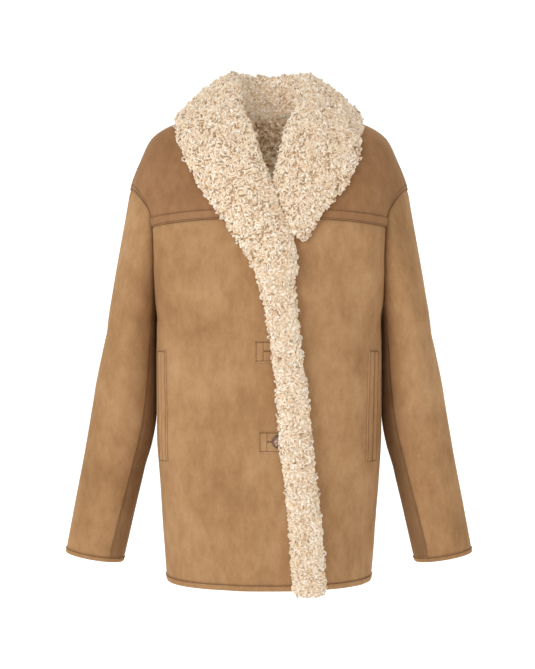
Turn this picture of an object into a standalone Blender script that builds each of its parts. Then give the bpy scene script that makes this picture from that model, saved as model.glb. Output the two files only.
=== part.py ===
"""Faux shearling coat: bonded suede cloth with a curly fur shawl collar and a fur front edge.

The coat keeps the hollow, filled-out shape that it has when it is worn, open at the neck, the hem
and both cuffs. Sizes are in millimetres and are turned into metres when a mesh is made. +Z is up,
the wearer faces -Y, and +X is the wearer's left. Z = 0 is the level of the neck seam at the
shoulders. "Right" and "left" in the names are the wearer's own.
"""
import math

import bmesh
import bpy
from mathutils import Vector
from mathutils.bvhtree import BVHTree

MM = 0.001

# ---------------------------------------------------------------- driving dimensions (mm)
HEM_HEIGHT = -728.0          # bottom edge of the body
ARMPIT_HEIGHT = -302.0       # lowest point of the armholes
NECK_HEIGHT = 62.0           # where the two shoulder slopes would meet over the neck
WALL = 4.0                   # suede, backing and short pile together
SEAM = 0.3                   # distance between two pieces at a seam
ARMHOLE_SEAM = 0.9           # the same at an armhole, where the pieces meet at an angle
LAP_LIFT = WALL + 1.4        # how far the right front stands over the left front
LAP_START = -78.0            # X where the right front starts to rise
LAP_FULL = -32.0             # X from which it is fully raised
HEM_BAND = 10.5              # stitched turn-up at the hem
CUFF_BAND = 8.5              # stitched turn-up at the cuffs
BAND_PROUD = 0.8             # how far a turn-up stands out of its panel
YOKE_LAP = 16.0              # height of the lapped strip along the yoke seam
YOKE_LAP_THICK = 1.3
FUR_THICK = 17.0             # collar and front edge, from backing to the tips of the curls
FUR_SEAT = 0.6               # room between the fur pieces and the panel that they lie on
COLLAR_ROOM = 2.0            # the same where the collar passes over the round of the shoulders
LINING_ROOM = 4.4            # between the back and the fur inside it
PANEL_ROW = 200.0            # the shortest rise of the form from one row to the next
SIDE_GAP = 0.0006            # share of the width left open at each side seam
SLEEVE_LENGTH = 560.0        # from armhole to cuff, along the front seam
SLEEVE_GIRTH = 320.0         # round the sleeve, about half way down
BUTTON_DIAMETER = 22.0
BUTTON_THICK = 3.6
TAB_THICK = 1.4
TAB_HEIGHT = 34.0
POCKET_TOP = -354.0
POCKET_BOTTOM = -532.0
WELT_PROUD = 1.6

# Rings of the body from hem to armpit.
#             height  half_width  front_depth  back_depth  squareness
BODY_RINGS = [
    (-728.0, 167.5, 139.0, 128.0, 2.5),
    (-667.0, 171.0, 139.0, 128.0, 2.6),
    (-600.0, 175.5, 138.0, 127.0, 2.8),
    (-540.0, 180.0, 137.0, 126.0, 2.9),
    (-486.0, 183.5, 136.0, 125.0, 3.0),
    (-380.0, 184.0, 134.0, 124.0, 3.1),
    (-302.0, 182.5, 132.0, 122.0, 3.1),
]

# Shoulder line, from the middle of the neck to the tip of the dropped shoulder.
#             share    x      z
SHOULDER = [
    (0.00, 0.0, NECK_HEIGHT),
    (0.26, 75.0, 40.0),
    (0.45, 130.0, 25.0),
    (0.60, 170.0, 10.0),
    (0.70, 194.0, -8.0),
    (0.82, 211.0, -41.0),
    (0.94, 226.0, -77.0),
    (1.00, 230.0, -91.0),
]

# Armhole, from the armpit round the front to the shoulder tip. The back one has y the other way.
#             share    x      y      z
ARMHOLE = [
    (0.00, 182.5, 0.0, -302.0),
    (0.10, 184.0, -34.0, -268.0),
    (0.20, 184.0, -58.0, -225.0),
    (0.30, 184.5, -70.0, -180.0),
    (0.40, 188.0, -72.0, -143.0),
    (0.55, 203.0, -57.0, -115.0),
    (0.75, 218.0, -33.0, -99.0),
    (1.00, 230.0, 0.0, -91.0),
]

# Sleeve rings, from just under the armpit to the cuff.
#             share  centre_x  centre_z  half_width  half_depth  tilt_degrees
SLEEVE_RINGS = [
    (0.22, 227.0, -332.0, 40.5, 74.0, 8.0),
    (0.45, 238.0, -430.0, 49.5, 69.0, 10.0),
    (0.65, 251.5, -520.0, 51.0, 62.0, 11.0),
    (0.85, 270.5, -612.0, 49.5, 54.0, 11.0),
    (1.00, 287.5, -694.0, 48.0, 47.0, 10.0),
]
SLEEVE_FRONT_SEAM = [(0.0, 0.43), (0.5, 0.385), (1.0, 0.352)]
SLEEVE_BACK_SEAM = [(0.0, 0.60), (0.5, 0.64), (1.0, 0.66)]

# Free edges of the two fronts: X of the edge for each height of the middle line.
RIGHT_FRONT_EDGE = [
    (-728.0, 82.0), (-509.0, 60.0), (-302.0, 38.0), (-218.0, 25.0),
    (-150.0, 4.0), (-90.0, -22.0), (-20.0, -52.0), (30.0, -68.0), (62.0, -75.0),
]
LEFT_FRONT_EDGE = [
    (-728.0, -22.0), (-302.0, -22.0), (-210.0, -20.0), (-150.0, 2.0),
    (-100.0, 20.0), (-30.0, 48.0), (30.0, 68.0), (62.0, 75.0),
]

# Height of the front yoke's lower edge for each distance from the middle.
YOKE_LINE = [(0.0, -138.0), (60.0, -146.0), (120.0, -150.0), (186.0, -157.0)]

# Both edges of the fur that runs down the front: X for each height.
#             height   left    right
FUR_EDGES = [
    (-733.0, 37.0, 88.0),
    (-650.0, 33.0, 82.0),
    (-580.0, 27.0, 76.0),
    (-509.0, 18.0, 67.0),
    (-430.0, 12.0, 60.0),
    (-350.0, 3.0, 49.0),
    (-275.0, -9.0, 42.0),
    (-235.0, -20.0, 37.0),
]

# Collar sections round the neck, for X > 0 and mirrored: the seam on the neckline, the top of the
# roll and the outer edge of the fall.
#    seam_x seam_y seam_z  roll_x roll_y roll_z  edge_x edge_y edge_z
COLLAR_NECK = [
    (0.0, 71.0, 33.0, 0.0, 86.0, 116.0, 0.0, 139.0, -6.0),
    (36.0, 65.0, 41.0, 33.0, 77.0, 116.0, 68.0, 131.0, -8.0),
    (62.0, 40.0, 45.0, 55.0, 46.0, 113.0, 122.0, 95.0, -2.0),
    (73.0, 2.0, 44.0, 61.0, 4.0, 104.0, 151.0, 6.0, 27.0),
    (64.0, -38.0, 26.0, 50.0, -40.0, 72.0, 150.0, -48.0, 6.0),
]
# Collar sections that lie on the fronts: X and height of the inner roll and of the outer edge.
#    roll_x  roll_z  edge_x  edge_z
LAPEL_RIGHT = [
    (33.0, 10.0, 134.0, -42.0),
    (15.0, -50.0, 117.0, -78.0),
    (-2.0, -92.0, 101.0, -108.0),
    (-16.0, -135.0, 78.0, -138.0),
    (-29.0, -180.0, 50.0, -180.0),
    (-36.0, -215.0, 30.0, -215.0),
    (-37.0, -234.4, 20.0, -234.4),
]
LAPEL_LEFT = [
    (33.0, 10.0, 141.0, -44.0),
    (17.0, -50.0, 128.0, -78.0),
    (9.0, -88.0, 111.0, -106.0),
    (19.0, -118.0, 90.0, -132.0),
    (27.0, -148.0, 71.0, -160.0),
    (35.0, -172.0, 57.0, -183.0),
]

SHOULDER_ROW = 2.0           # the row of the shoulder seam, counted from hem 0 and armpit 1
NECK_SHARE = 0.26            # how far across the neckline reaches, of the way to the armhole
BACK_NECK_DROP = 0.27        # how far the back is cut down at the neck, in rows

SUEDE_COLOUR = (0.445, 0.250, 0.112)
YOKE_COLOUR = (0.371, 0.198, 0.082)
FUR_COLOUR = (0.745, 0.591, 0.429)
LINING_COLOUR = (0.37, 0.26, 0.17)
BUTTON_COLOUR = (0.16, 0.11, 0.085)


# ---------------------------------------------------------------- numbers and curves
def slope_at(rows, index, column):
    """Slope of one column at a row of a table, flat where the column turns back."""
    if index == 0 or index == len(rows) - 1:
        near = rows[0] if index == 0 else rows[-2]
        far = rows[1] if index == 0 else rows[-1]
        return (far[column] - near[column]) / (far[0] - near[0])
    before = (rows[index][column] - rows[index - 1][column]) / (rows[index][0] - rows[index - 1][0])
    after = (rows[index + 1][column] - rows[index][column]) / (rows[index + 1][0] - rows[index][0])
    if before * after <= 0.0:
        return 0.0
    return 2.0 * before * after / (before + after)


def table_at(rows, key):
    """Columns of a table at any place along its first column, on a smooth curve."""
    key = min(max(key, rows[0][0]), rows[-1][0])
    index = 0
    while index < len(rows) - 2 and key > rows[index + 1][0]:
        index += 1
    span = rows[index + 1][0] - rows[index][0]
    share = (key - rows[index][0]) / span
    start_pull = share * (1.0 - share) ** 2
    end_pull = share * share * (share - 1.0)
    rise = share * share * (3.0 - 2.0 * share)
    values = []
    for column in range(1, len(rows[0])):
        low = rows[index][column]
        high = rows[index + 1][column]
        bend = start_pull * slope_at(rows, index, column) + end_pull * slope_at(rows, index + 1, column)
        values.append(low + (high - low) * rise + span * bend)
    return values


def mix(a, b, share):
    return a + (b - a) * share


def ease(low, high, value):
    share = min(max((value - low) / (high - low), 0.0), 1.0)
    return share * share * (3.0 - 2.0 * share)


def solve(function, target, low, high):
    """Place between low and high where a rising function reaches the target."""
    for _ in range(26):
        middle = 0.5 * (low + high)
        if function(middle) < target:
            low = middle
        else:
            high = middle
    return 0.5 * (low + high)


# ---------------------------------------------------------------- the form of the body
def ring_point(across, height, side):
    """Point on a body ring. across: 0 in the middle, 1 at the side seam. side: 1 front, -1 back."""
    half_width, front_depth, back_depth, squareness = table_at(BODY_RINGS, height)
    depth = front_depth if side > 0 else back_depth
    angle = across * math.pi / 2.0
    part_x = (math.sin(angle) / half_width) ** squareness
    part_y = (max(math.cos(angle), 0.0) / depth) ** squareness
    radius = (part_x + part_y) ** (-1.0 / squareness)
    return Vector((radius * math.sin(angle), -side * radius * math.cos(angle), height))


def middle_point(share, side):
    """Middle line of the chest or the back above the armpits."""
    depth = ring_point(0.0, ARMPIT_HEIGHT, side).y
    y = depth * math.cos(share * math.pi / 2.0) ** (0.8 if side > 0 else 0.62)
    z = mix(ARMPIT_HEIGHT, NECK_HEIGHT, math.sin(share * math.pi / 2.0))
    return Vector((0.0, y, z))


def armhole_point(share, side):
    x, y, z = table_at(ARMHOLE, share)
    return Vector((x, y * side * (1.0 if side > 0 else 1.06), z))


def shoulder_point(across):
    x, z = table_at(SHOULDER, across)
    return Vector((x, 0.0, z))


def chest_point(across, share, side):
    """Patch between the armpit ring, the shoulder line, the middle line and the armhole."""
    weights = Vector((share, 1.0 - math.cos(share * math.pi / 2.0), math.sin(share * math.pi / 2.0)))
    to_edge = across ** 3

    def blend(low, high):
        return Vector([mix(low[axis], high[axis], weights[axis]) for axis in range(3)])

    form = blend(ring_point(across, ARMPIT_HEIGHT, side), shoulder_point(across))
    middle = middle_point(share, side) - blend(middle_point(0.0, side), middle_point(1.0, side))
    edge = armhole_point(share, side) - blend(armhole_point(0.0, side), armhole_point(1.0, side))
    point = form + middle * (1.0 - to_edge) + edge * to_edge
    # soft vertical fold where the dropped shoulder turns from the chest to the arm
    fold = math.exp(-((point.x - 187.0) / 8.0) ** 2)
    fold *= ease(0.42, 0.54, share) * (1.0 - ease(0.6, 0.82, share))
    point.y += side * 3.5 * fold
    return point


def body(across, up, side):
    """The coat's outer form. up: 0 at the hem, 1 at the armpit, 2 at the shoulder line."""
    if up <= 1.0:
        point = ring_point(abs(across), mix(HEM_HEIGHT, ARMPIT_HEIGHT, max(up, 0.0)), side)
    else:
        point = chest_point(min(abs(across), 1.0), min(up - 1.0, 1.0), side)
        if up >= SHOULDER_ROW:
            point.y = -side * 0.5 * SEAM
    if across < 0.0:
        point.x = -point.x
    return point


def body_normal(across, up, side):
    step = 0.002
    across_low = max(across - step, -1.0)
    across_high = min(across + step, 1.0)
    up_low = max(up - step, 0.0)
    up_high = min(up + step, 2.0)
    along = body(across_high, up, side) - body(across_low, up, side)
    rising = body(across, up_high, side) - body(across, up_low, side)
    normal = along.cross(rising).normalized() * side
    # both halves agree along the shoulder seam
    normal.y *= 1.0 - ease(1.93, 2.0, up)
    return normal.normalized()


def row_height(up):
    """Height of a row on the middle line of the front."""
    return body(0.0, up, 1).z


def across_at(x, up, side):
    """The share across at which a row reaches X."""
    return solve(lambda share: body(share, up, side).x, x, -1.0, 1.0)


def lap_lift(x):
    return LAP_LIFT * ease(LAP_START, LAP_FULL, x)


def yoke_row(across):
    """Row at which the yoke seam crosses a line of the front."""
    def above_line(up):
        point = body(across, up, 1)
        return point.z - table_at(YOKE_LINE, abs(point.x))[0]
    return solve(above_line, 0.0, 1.0, 1.9)


# ---------------------------------------------------------------- the form of a sleeve
def sleeve_ring(turn, share):
    """Point of a sleeve ring. turn: 0 outside, 0.25 front, 0.5 against the body, 0.75 back."""
    centre_x, centre_z, half_width, half_depth, tilt = table_at(SLEEVE_RINGS, share)
    angle = turn * 2.0 * math.pi
    reach = half_width * math.cos(angle)
    tilt = math.radians(tilt)
    return Vector((centre_x + reach * math.cos(tilt),
                   -half_depth * math.sin(angle),
                   centre_z + reach * math.sin(tilt)))


def sleeve(turn, share):
    """The sleeve's outer form for the wearer's left. share: 0 at the armhole, 1 at the cuff."""
    turn = turn % 1.0
    first = SLEEVE_RINGS[0][0]
    if share >= first:
        return sleeve_ring(turn, share)
    if turn <= 0.5:
        start = armhole_point(1.0 - 2.0 * turn, 1)
    else:
        start = armhole_point(2.0 * turn - 1.0, -1)
    end = sleeve_ring(turn, first)
    length = (end - start).length
    start += (end - start).normalized() * ARMHOLE_SEAM
    start.x += ARMHOLE_SEAM * (1.0 - ease(0.5, 0.9, abs(1.0 - 2.0 * turn)))
    forward = -0.22 * math.sin(turn * 2.0 * math.pi)
    start_pull = Vector((0.16, forward, -1.0)).normalized() * length
    end_pull = Vector((0.12, 0.0, -1.0)).normalized() * length
    part = max(share, 0.0) / first
    point = start * (1.0 + 2.0 * part) * (1.0 - part) ** 2
    point += end * part * part * (3.0 - 2.0 * part)
    point += start_pull * part * (1.0 - part) ** 2
    point += end_pull * part * part * (part - 1.0)
    return point


def sleeve_normal(turn, share):
    step = 0.003
    around = sleeve(turn + step, share) - sleeve(turn - step, share)
    down = sleeve(turn, min(share + step, 1.0)) - sleeve(turn, max(share - step, 0.0))
    return around.cross(down).normalized()


# ---------------------------------------------------------------- building meshes
def make_material(name, colour, roughness):
    material = bpy.data.materials.new(name)
    material.use_nodes = True
    shader = material.node_tree.nodes["Principled BSDF"]
    shader.inputs["Base Color"].default_value = (*colour, 1.0)
    shader.inputs["Roughness"].default_value = roughness
    shader.inputs["Metallic"].default_value = 0.0
    material.diffuse_color = (*colour, 1.0)
    return material


def add_object(name, mesh_builder, material, collection):
    mesh = bpy.data.meshes.new(name)
    bmesh.ops.recalc_face_normals(mesh_builder, faces=mesh_builder.faces)
    mesh_builder.to_mesh(mesh)
    mesh_builder.free()
    mesh.shade_smooth()
    mesh.set_sharp_from_angle(angle=math.radians(50.0))
    mesh.materials.append(material)
    part = bpy.data.objects.new(name, mesh)
    collection.objects.link(part)
    return part


def add_sheet(builder, place, columns, rows, lift):
    """Open grid of the builder, each point at place(u, v) moved out by lift(u, v, point)."""
    grid = bmesh.ops.create_grid(builder, x_segments=columns, y_segments=rows, size=1.0)
    for vert in grid["verts"]:
        u = 0.5 * (vert.co.x + 1.0)
        v = 0.5 * (vert.co.y + 1.0)
        point, normal = place(u, v)
        vert.co = (point + normal * lift(u, v, point)) * MM


def add_cloth(name, place, columns, rows, material, collection, lift=None, wall=WALL):
    """Closed cloth wall: an outer and an inner sheet joined round their rim."""
    if lift is None:
        def lift(u, v, point):
            return 0.0
    builder = bmesh.new()
    add_sheet(builder, place, columns, rows, lift)
    add_sheet(builder, place, columns, rows, lambda u, v, point: lift(u, v, point) - wall)
    rim = [edge for edge in builder.edges if edge.is_boundary]
    bmesh.ops.bridge_loops(builder, edges=rim)
    return add_object(name, builder, material, collection)


def add_loft(name, loops, material, collection):
    """Closed solid through a row of closed loops, with flat ends."""
    builder = bmesh.new()
    rings = [[builder.verts.new(point * MM) for point in loop] for loop in loops]
    count = len(rings[0])
    for near, far in zip(rings, rings[1:]):
        for i in range(count):
            j = (i + 1) % count
            builder.faces.new((near[i], near[j], far[j], far[i]))
    builder.faces.new(rings[0])
    builder.faces.new(list(reversed(rings[-1])))
    return add_object(name, builder, material, collection)


def closed_curve(points, count):
    """Evenly numbered points on a smooth closed curve through a few points."""
    total = len(points)
    result = []
    for step in range(count):
        place = step * total / count
        i = int(place)
        share = place - i
        before, start, end, after = (points[(i + k) % total] for k in (-1, 0, 1, 2))
        start_pull = (end - before) * 0.5
        end_pull = (after - start) * 0.5
        point = start * (1.0 + 2.0 * share) * (1.0 - share) ** 2
        point += end * share * share * (3.0 - 2.0 * share)
        point += start_pull * share * (1.0 - share) ** 2
        point += end_pull * share * share * (share - 1.0)
        result.append(point)
    return result


def loops_between(sections, rows):
    """Loops along a smooth path through section loops."""
    count = len(sections[0])
    tables = []
    for i in range(count):
        tables.append([(index, *section[i]) for index, section in enumerate(sections)])
    last = len(sections) - 1
    return [[Vector(table_at(table, last * row / rows)) for table in tables] for row in range(rows + 1)]


def make_carrier():
    """Search tree over the coat's outer form, without seams, in millimetres."""
    columns = 60
    rows = 80
    verts = []
    faces = []
    for side in (1, -1):
        start = len(verts)
        for row in range(rows + 1):
            up = 2.0 * row / rows
            free_edge = table_at(RIGHT_FRONT_EDGE, row_height(up))[0]
            for column in range(columns + 1):
                across = mix(-1.0, 1.0, column / columns)
                point = body(across, up, side)
                if side > 0 and point.x < free_edge + 12.0:
                    point += body_normal(across, up, side) * lap_lift(point.x)
                verts.append(point)
        for row in range(rows):
            for column in range(columns):
                corner = start + row * (columns + 1) + column
                face = [corner, corner + 1, corner + columns + 2, corner + columns + 1]
                faces.append(face if side > 0 else face[::-1])
    return BVHTree.FromPolygons(verts, faces)


def on_front(carrier, x, z):
    """Point and normal where a line from the front meets the coat at X and height."""
    point, normal, _, _ = carrier.ray_cast(Vector((x, -600.0, z)), Vector((0.0, 1.0, 0.0)))
    return point, normal


def clear_of(carrier, point, room):
    """The point, moved out where it is nearer to the carrier than the room."""
    nearest, normal, _, distance = carrier.find_nearest(point)
    depth = (point - nearest).dot(normal)
    if distance < 40.0 and depth < room:
        return point + normal * (room - depth)
    return point


# ---------------------------------------------------------------- cloth panels
def front_place(edge_table, side_sign, up_low, up_high_of):
    """Place function of a front between its free edge and the side seam or armhole."""
    top_row = yoke_row(0.0)

    def edge_share(up):
        return across_at(table_at(edge_table, row_height(up))[0], up, 1)

    edge_ups = [mix(up_low, 2.0, i / 40.0) for i in range(41)]
    edge_rows = [(up, edge_share(up)) for up in edge_ups]

    def place(u, v):
        low = up_low if up_low < 1.0 else top_row
        high = top_row if up_low < 1.0 else 2.0
        inner = table_at(edge_rows, mix(low, high, v))[0]
        outer = side_sign
        across = mix(inner, outer, u)
        top_across = mix(table_at(edge_rows, top_row)[0], outer, u)
        bottom, top = up_high_of(top_across)
        up = mix(bottom, top, v)
        return body(across, up, 1), body_normal(across, up, 1)

    return place


def build_fronts(collection, suede, yoke_cloth):
    parts = []
    seam_share = 0.5 * SEAM / PANEL_ROW
    band_up = HEM_BAND / (ARMPIT_HEIGHT - HEM_HEIGHT)
    for side_name, edge_table, sign in (("right", RIGHT_FRONT_EDGE, -1.0), ("left", LEFT_FRONT_EDGE, 1.0)):
        side_seam = sign * (1.0 - SIDE_GAP)

        def lift(u, v, point, sign=sign):
            return lap_lift(point.x) if sign < 0.0 else 0.0

        def band_lift(u, v, point, sign=sign):
            return BAND_PROUD + (lap_lift(point.x) if sign < 0.0 else 0.0)

        panel = front_place(edge_table, side_seam, band_up,
                            lambda across: (band_up + seam_share, yoke_row(across) - seam_share))
        yoke = front_place(edge_table, side_seam, 1.0,
                           lambda across: (yoke_row(across) + seam_share, SHOULDER_ROW))

        def hem_place(u, v, edge_table=edge_table, outer=side_seam):
            up = v * (band_up - seam_share)
            inner = across_at(table_at(edge_table, row_height(up))[0], up, 1)
            across = mix(inner, outer, u)
            return body(across, up, 1), body_normal(across, up, 1)

        parts.append(add_cloth("front_" + side_name, panel, 17, 20, suede, collection, lift))
        parts.append(add_cloth("yoke_" + side_name, yoke, 12, 7, yoke_cloth, collection, lift))
        parts.append(add_cloth("hem_front_" + side_name, hem_place, 17, 1, suede, collection, band_lift,
                               WALL + BAND_PROUD))
    return parts


def back_top(across):
    """Upper edge of the back: the round neckline, then the shoulder seam."""
    share = min(abs(across) / NECK_SHARE, 1.0)
    return SHOULDER_ROW - BACK_NECK_DROP * math.sqrt(1.0 - share * share)


def build_back(collection, suede):
    band_up = HEM_BAND / (ARMPIT_HEIGHT - HEM_HEIGHT)
    seam_share = 0.5 * SEAM / PANEL_ROW
    seam_edge = 1.0 - SIDE_GAP

    def panel(u, v):
        across = mix(-seam_edge, seam_edge, u)
        up = mix(band_up + seam_share, back_top(across), v)
        return body(across, up, -1), body_normal(across, up, -1)

    def hem_place(u, v):
        across = mix(-seam_edge, seam_edge, u)
        up = v * (band_up - seam_share)
        return body(across, up, -1), body_normal(across, up, -1)

    back = add_cloth("back", panel, 28, 24, suede, collection)
    hem = add_cloth("hem_back", hem_place, 28, 1, suede, collection,
                    lambda u, v, point: BAND_PROUD, WALL + BAND_PROUD)
    return [back, hem]


def build_back_lining(collection, lining):
    """Fur inside the back, where it shows through the neck."""
    def place(u, v):
        across = mix(-0.35, 0.35, u)
        up = mix(1.30, back_top(0.0) - 0.03, v)
        return body(across, up, -1), body_normal(across, up, -1)
    return add_cloth("lining_back", place, 16, 9, lining, collection,
                     lambda u, v, point: -WALL - LINING_ROOM, 8.0)


def build_sleeves(collection, suede):
    parts = []
    cuff_share = 1.0 - CUFF_BAND / SLEEVE_LENGTH
    gap = SEAM / SLEEVE_GIRTH
    for side_name, sign in (("right", -1.0), ("left", 1.0)):
        def mirrored(turn, share, sign=sign):
            point = sleeve(turn, share)
            normal = sleeve_normal(turn, share)
            point.x *= sign
            normal.x *= sign
            return point, normal

        def top_place(u, v):
            share = v * (cuff_share - 0.0004)
            start = table_at(SLEEVE_BACK_SEAM, share)[0] - 1.0 + gap
            end = table_at(SLEEVE_FRONT_SEAM, share)[0] - gap
            return mirrored(mix(start, end, u), share)

        def under_place(u, v):
            share = v * (cuff_share - 0.0004)
            start = table_at(SLEEVE_FRONT_SEAM, share)[0] + gap
            end = table_at(SLEEVE_BACK_SEAM, share)[0] - gap
            return mirrored(mix(start, end, u), share)

        def cuff_place(u, v):
            share = mix(cuff_share, 1.0, v)
            start = table_at(SLEEVE_FRONT_SEAM, share)[0] + gap
            return mirrored(start + u * (1.0 - 2.0 * gap), share)

        parts.append(add_cloth("sleeve_top_" + side_name, top_place, 13, 17, suede, collection))
        parts.append(add_cloth("sleeve_under_" + side_name, under_place, 6, 17, suede, collection))
        parts.append(add_cloth("cuff_" + side_name, cuff_place, 22, 1, suede, collection,
                               lambda u, v, point: BAND_PROUD, WALL + BAND_PROUD))
    return parts


def build_yoke_laps(collection, yoke_cloth):
    """Lapped strip along each yoke seam, stitched down on the panel."""
    for side_name, sign, start_x in (("right", -1.0, 81.0), ("left", 1.0, 91.0)):
        start = across_at(start_x, yoke_row(0.4), 1)

        def place(u, v, sign=sign, start=start):
            across = mix(start, 0.93, u)
            low = yoke_row(across)
            up = solve(lambda row: body(across, row, 1).z, body(across, low, 1).z + YOKE_LAP * v, low, 1.9)
            across *= sign
            return body(across, up, 1), body_normal(across, up, 1)
        add_cloth("yoke_lap_" + side_name, place, 14, 2, yoke_cloth, collection,
                  lambda u, v, point: 0.9 + YOKE_LAP_THICK, YOKE_LAP_THICK)


def build_pockets(collection, suede):
    """Two welts with a slit between them, upright at each side of the front."""
    for side_name, sign, inner_top, inner_bottom in (("right", -1.0, 163.0, 160.0),
                                                     ("left", 1.0, 157.0, 152.0)):
        for welt_name, start, end in (("front", 0.0, 0.052), ("side", 0.057, 0.095)):
            def place(u, v, sign=sign, start=start, end=end, top=inner_top, bottom=inner_bottom):
                height = mix(POCKET_BOTTOM, POCKET_TOP, v)
                up = (height - HEM_HEIGHT) / (ARMPIT_HEIGHT - HEM_HEIGHT)
                first = across_at(mix(bottom, top, v), up, 1)
                across = sign * (first + mix(start, end, u))
                return body(across, up, 1), body_normal(across, up, 1)
            add_cloth("pocket_%s_%s" % (welt_name, side_name), place, 2, 14, suede, collection,
                      lambda u, v, point: 0.6 + WELT_PROUD, WELT_PROUD)


# ---------------------------------------------------------------- fur
def neck_section(row, sign):
    """Loop round a collar section that stands at the neck."""
    seam = Vector(row[0:3])
    roll = Vector(row[3:6])
    edge = Vector(row[6:9])
    for point in (seam, roll, edge):
        point.x *= sign
    up = Vector((0.0, 0.0, 1.0))
    out = edge - roll
    out.z = 0.0
    out.normalize()
    fall = (edge - roll).normalized()
    outward = (out - fall * fall.dot(out)).normalized()
    middle = roll.lerp(edge, 0.52)
    return [
        seam - out * 9.0 + up * 2.0,
        seam.lerp(roll, 0.55) - out * 10.0,
        roll - out * 1.0,
        middle + outward * 8.0,
        edge + up * 3.0,
        edge - fall * 6.0 - outward * 9.0,
        middle - outward * 9.0 - fall * 4.0,
        seam.lerp(roll, 0.66) + out * 6.0,
        seam - out * 1.0 + up * 2.0,
    ]


def lapel_section(row, sign, carrier, thick):
    """Loop round a collar section that lies on a front."""
    inner, inner_normal = on_front(carrier, sign * row[0], row[1])
    outer, outer_normal = on_front(carrier, sign * row[2], row[3])
    normal = (inner_normal + outer_normal).normalized()
    across = (outer - inner).normalized()
    seat = COLLAR_ROOM
    middle, _ = on_front(carrier, sign * mix(row[0], row[2], 0.5), mix(row[1], row[3], 0.5))
    quarter, _ = on_front(carrier, sign * mix(row[0], row[2], 0.25), mix(row[1], row[3], 0.25))
    return [
        inner + inner_normal * (seat + 0.30 * thick) - across * 1.0,
        inner + inner_normal * (seat + 0.75 * thick) + across * 1.0,
        inner.lerp(middle, 0.35) + normal * (seat + 1.05 * thick),
        middle + normal * (seat + 1.10 * thick),
        outer + outer_normal * (seat + 0.42 * thick) + across * 1.0,
        outer + outer_normal * seat - across * 7.0,
        middle + normal * seat,
        quarter + normal * seat,
        inner + inner_normal * seat + across * 4.0,
    ]


def build_collar(name, sign, lapel, carrier, fur, collection):
    sections = [neck_section(row, sign) for row in COLLAR_NECK]
    sections += [lapel_section(row, sign, carrier, FUR_THICK) for row in lapel]
    loops = loops_between([closed_curve(section, 16) for section in sections], 30)
    for loop in loops:
        for under in range(5, 13):
            loop[under] = clear_of(carrier, loop[under], COLLAR_ROOM)
    # the two halves meet at the centre back
    for point in loops[0]:
        point.x = sign * 0.5 * SEAM
    return add_loft(name, loops, fur, collection)


def edge_lift(share):
    """How far the fur edge stands off the front, to clear the tabs and the button under it."""
    return 6.6 * (1.0 - ease(0.1, 0.6, share))


def build_front_fur(carrier, fur, collection):
    """The fur edge of the right front, from the collar to the hem."""
    loops = []
    rows = 34
    for row in range(rows + 1):
        height = mix(-234.8, HEM_HEIGHT - 4.0, row / rows)
        left, right = table_at(FUR_EDGES, height)
        width = right - left
        loop = []
        seat = FUR_SEAT + (BAND_PROUD + SEAM if height < HEM_HEIGHT + 2.5 * HEM_BAND else 0.0)
        top_points = 6
        under_points = 4
        for step in range(top_points + 1):
            angle = math.pi * step / top_points
            reach = -math.cos(angle)
            x = mix(left, right, 0.5 + 0.5 * math.copysign(abs(reach) ** 0.8, reach))
            rise = (FUR_THICK - seat) * max(math.sin(angle), 0.0) ** 0.6
            loop.append((x, edge_lift((x - left) / width) * (1.0 - 0.6 * rise / FUR_THICK) + rise))
        for step in range(1, under_points):
            x = mix(right, left, step / under_points)
            loop.append((x, edge_lift((x - left) / width)))
        points = []
        for x, rise in loop:
            point, normal = on_front(carrier, x if x < right - 9.0 else right - 9.0,
                                     max(height, HEM_HEIGHT + 2.0))
            point = point + Vector((x - point.x, 0.0, height - point.z))
            forward = Vector((0.25 * normal.x, -1.0, 0.0))
            points.append(point + forward * (seat + rise))
        loops.append(points)
    return add_loft("front_fur_edge", loops, fur, collection)


# ---------------------------------------------------------------- tabs and buttons
def build_tabs(collection, carrier, suede, button_material):
    #          name     left    right   top      button_x
    for name, left, right, top, button_x in (("upper", -22.0, 16.0, -340.0, 16.0),
                                             ("lower", -16.0, 26.0, -480.5, 15.5)):
        def place(u, v, left=left, right=right, top=top):
            return on_front(carrier, mix(left, right, u), mix(top - TAB_HEIGHT, top, v))
        add_cloth("tab_" + name, place, 4, 3, suede, collection,
                  lambda u, v, point: SEAM + TAB_THICK, TAB_THICK)
        if name == "lower":
            centre, normal = on_front(carrier, button_x, top - 0.44 * TAB_HEIGHT)
            builder = bmesh.new()
            radius = 0.5 * BUTTON_DIAMETER * MM
            bmesh.ops.create_cone(builder, cap_ends=True, segments=28, radius1=radius,
                                  radius2=radius, depth=0.55 * BUTTON_THICK * MM)
            rim_face = max(builder.faces, key=lambda face: face.calc_center_median().z)
            bmesh.ops.inset_region(builder, faces=[rim_face], thickness=0.14 * radius)
            bmesh.ops.translate(builder, verts=rim_face.verts, vec=(0.0, 0.0, 0.45 * BUTTON_THICK * MM))
            button = add_object("button_" + name, builder, button_material, collection)
            button.location = (centre + normal * (2.0 * SEAM + TAB_THICK + 0.3 * BUTTON_THICK)) * MM
            button.rotation_mode = "QUATERNION"
            button.rotation_quaternion = normal.to_track_quat("Z", "Y")


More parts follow.
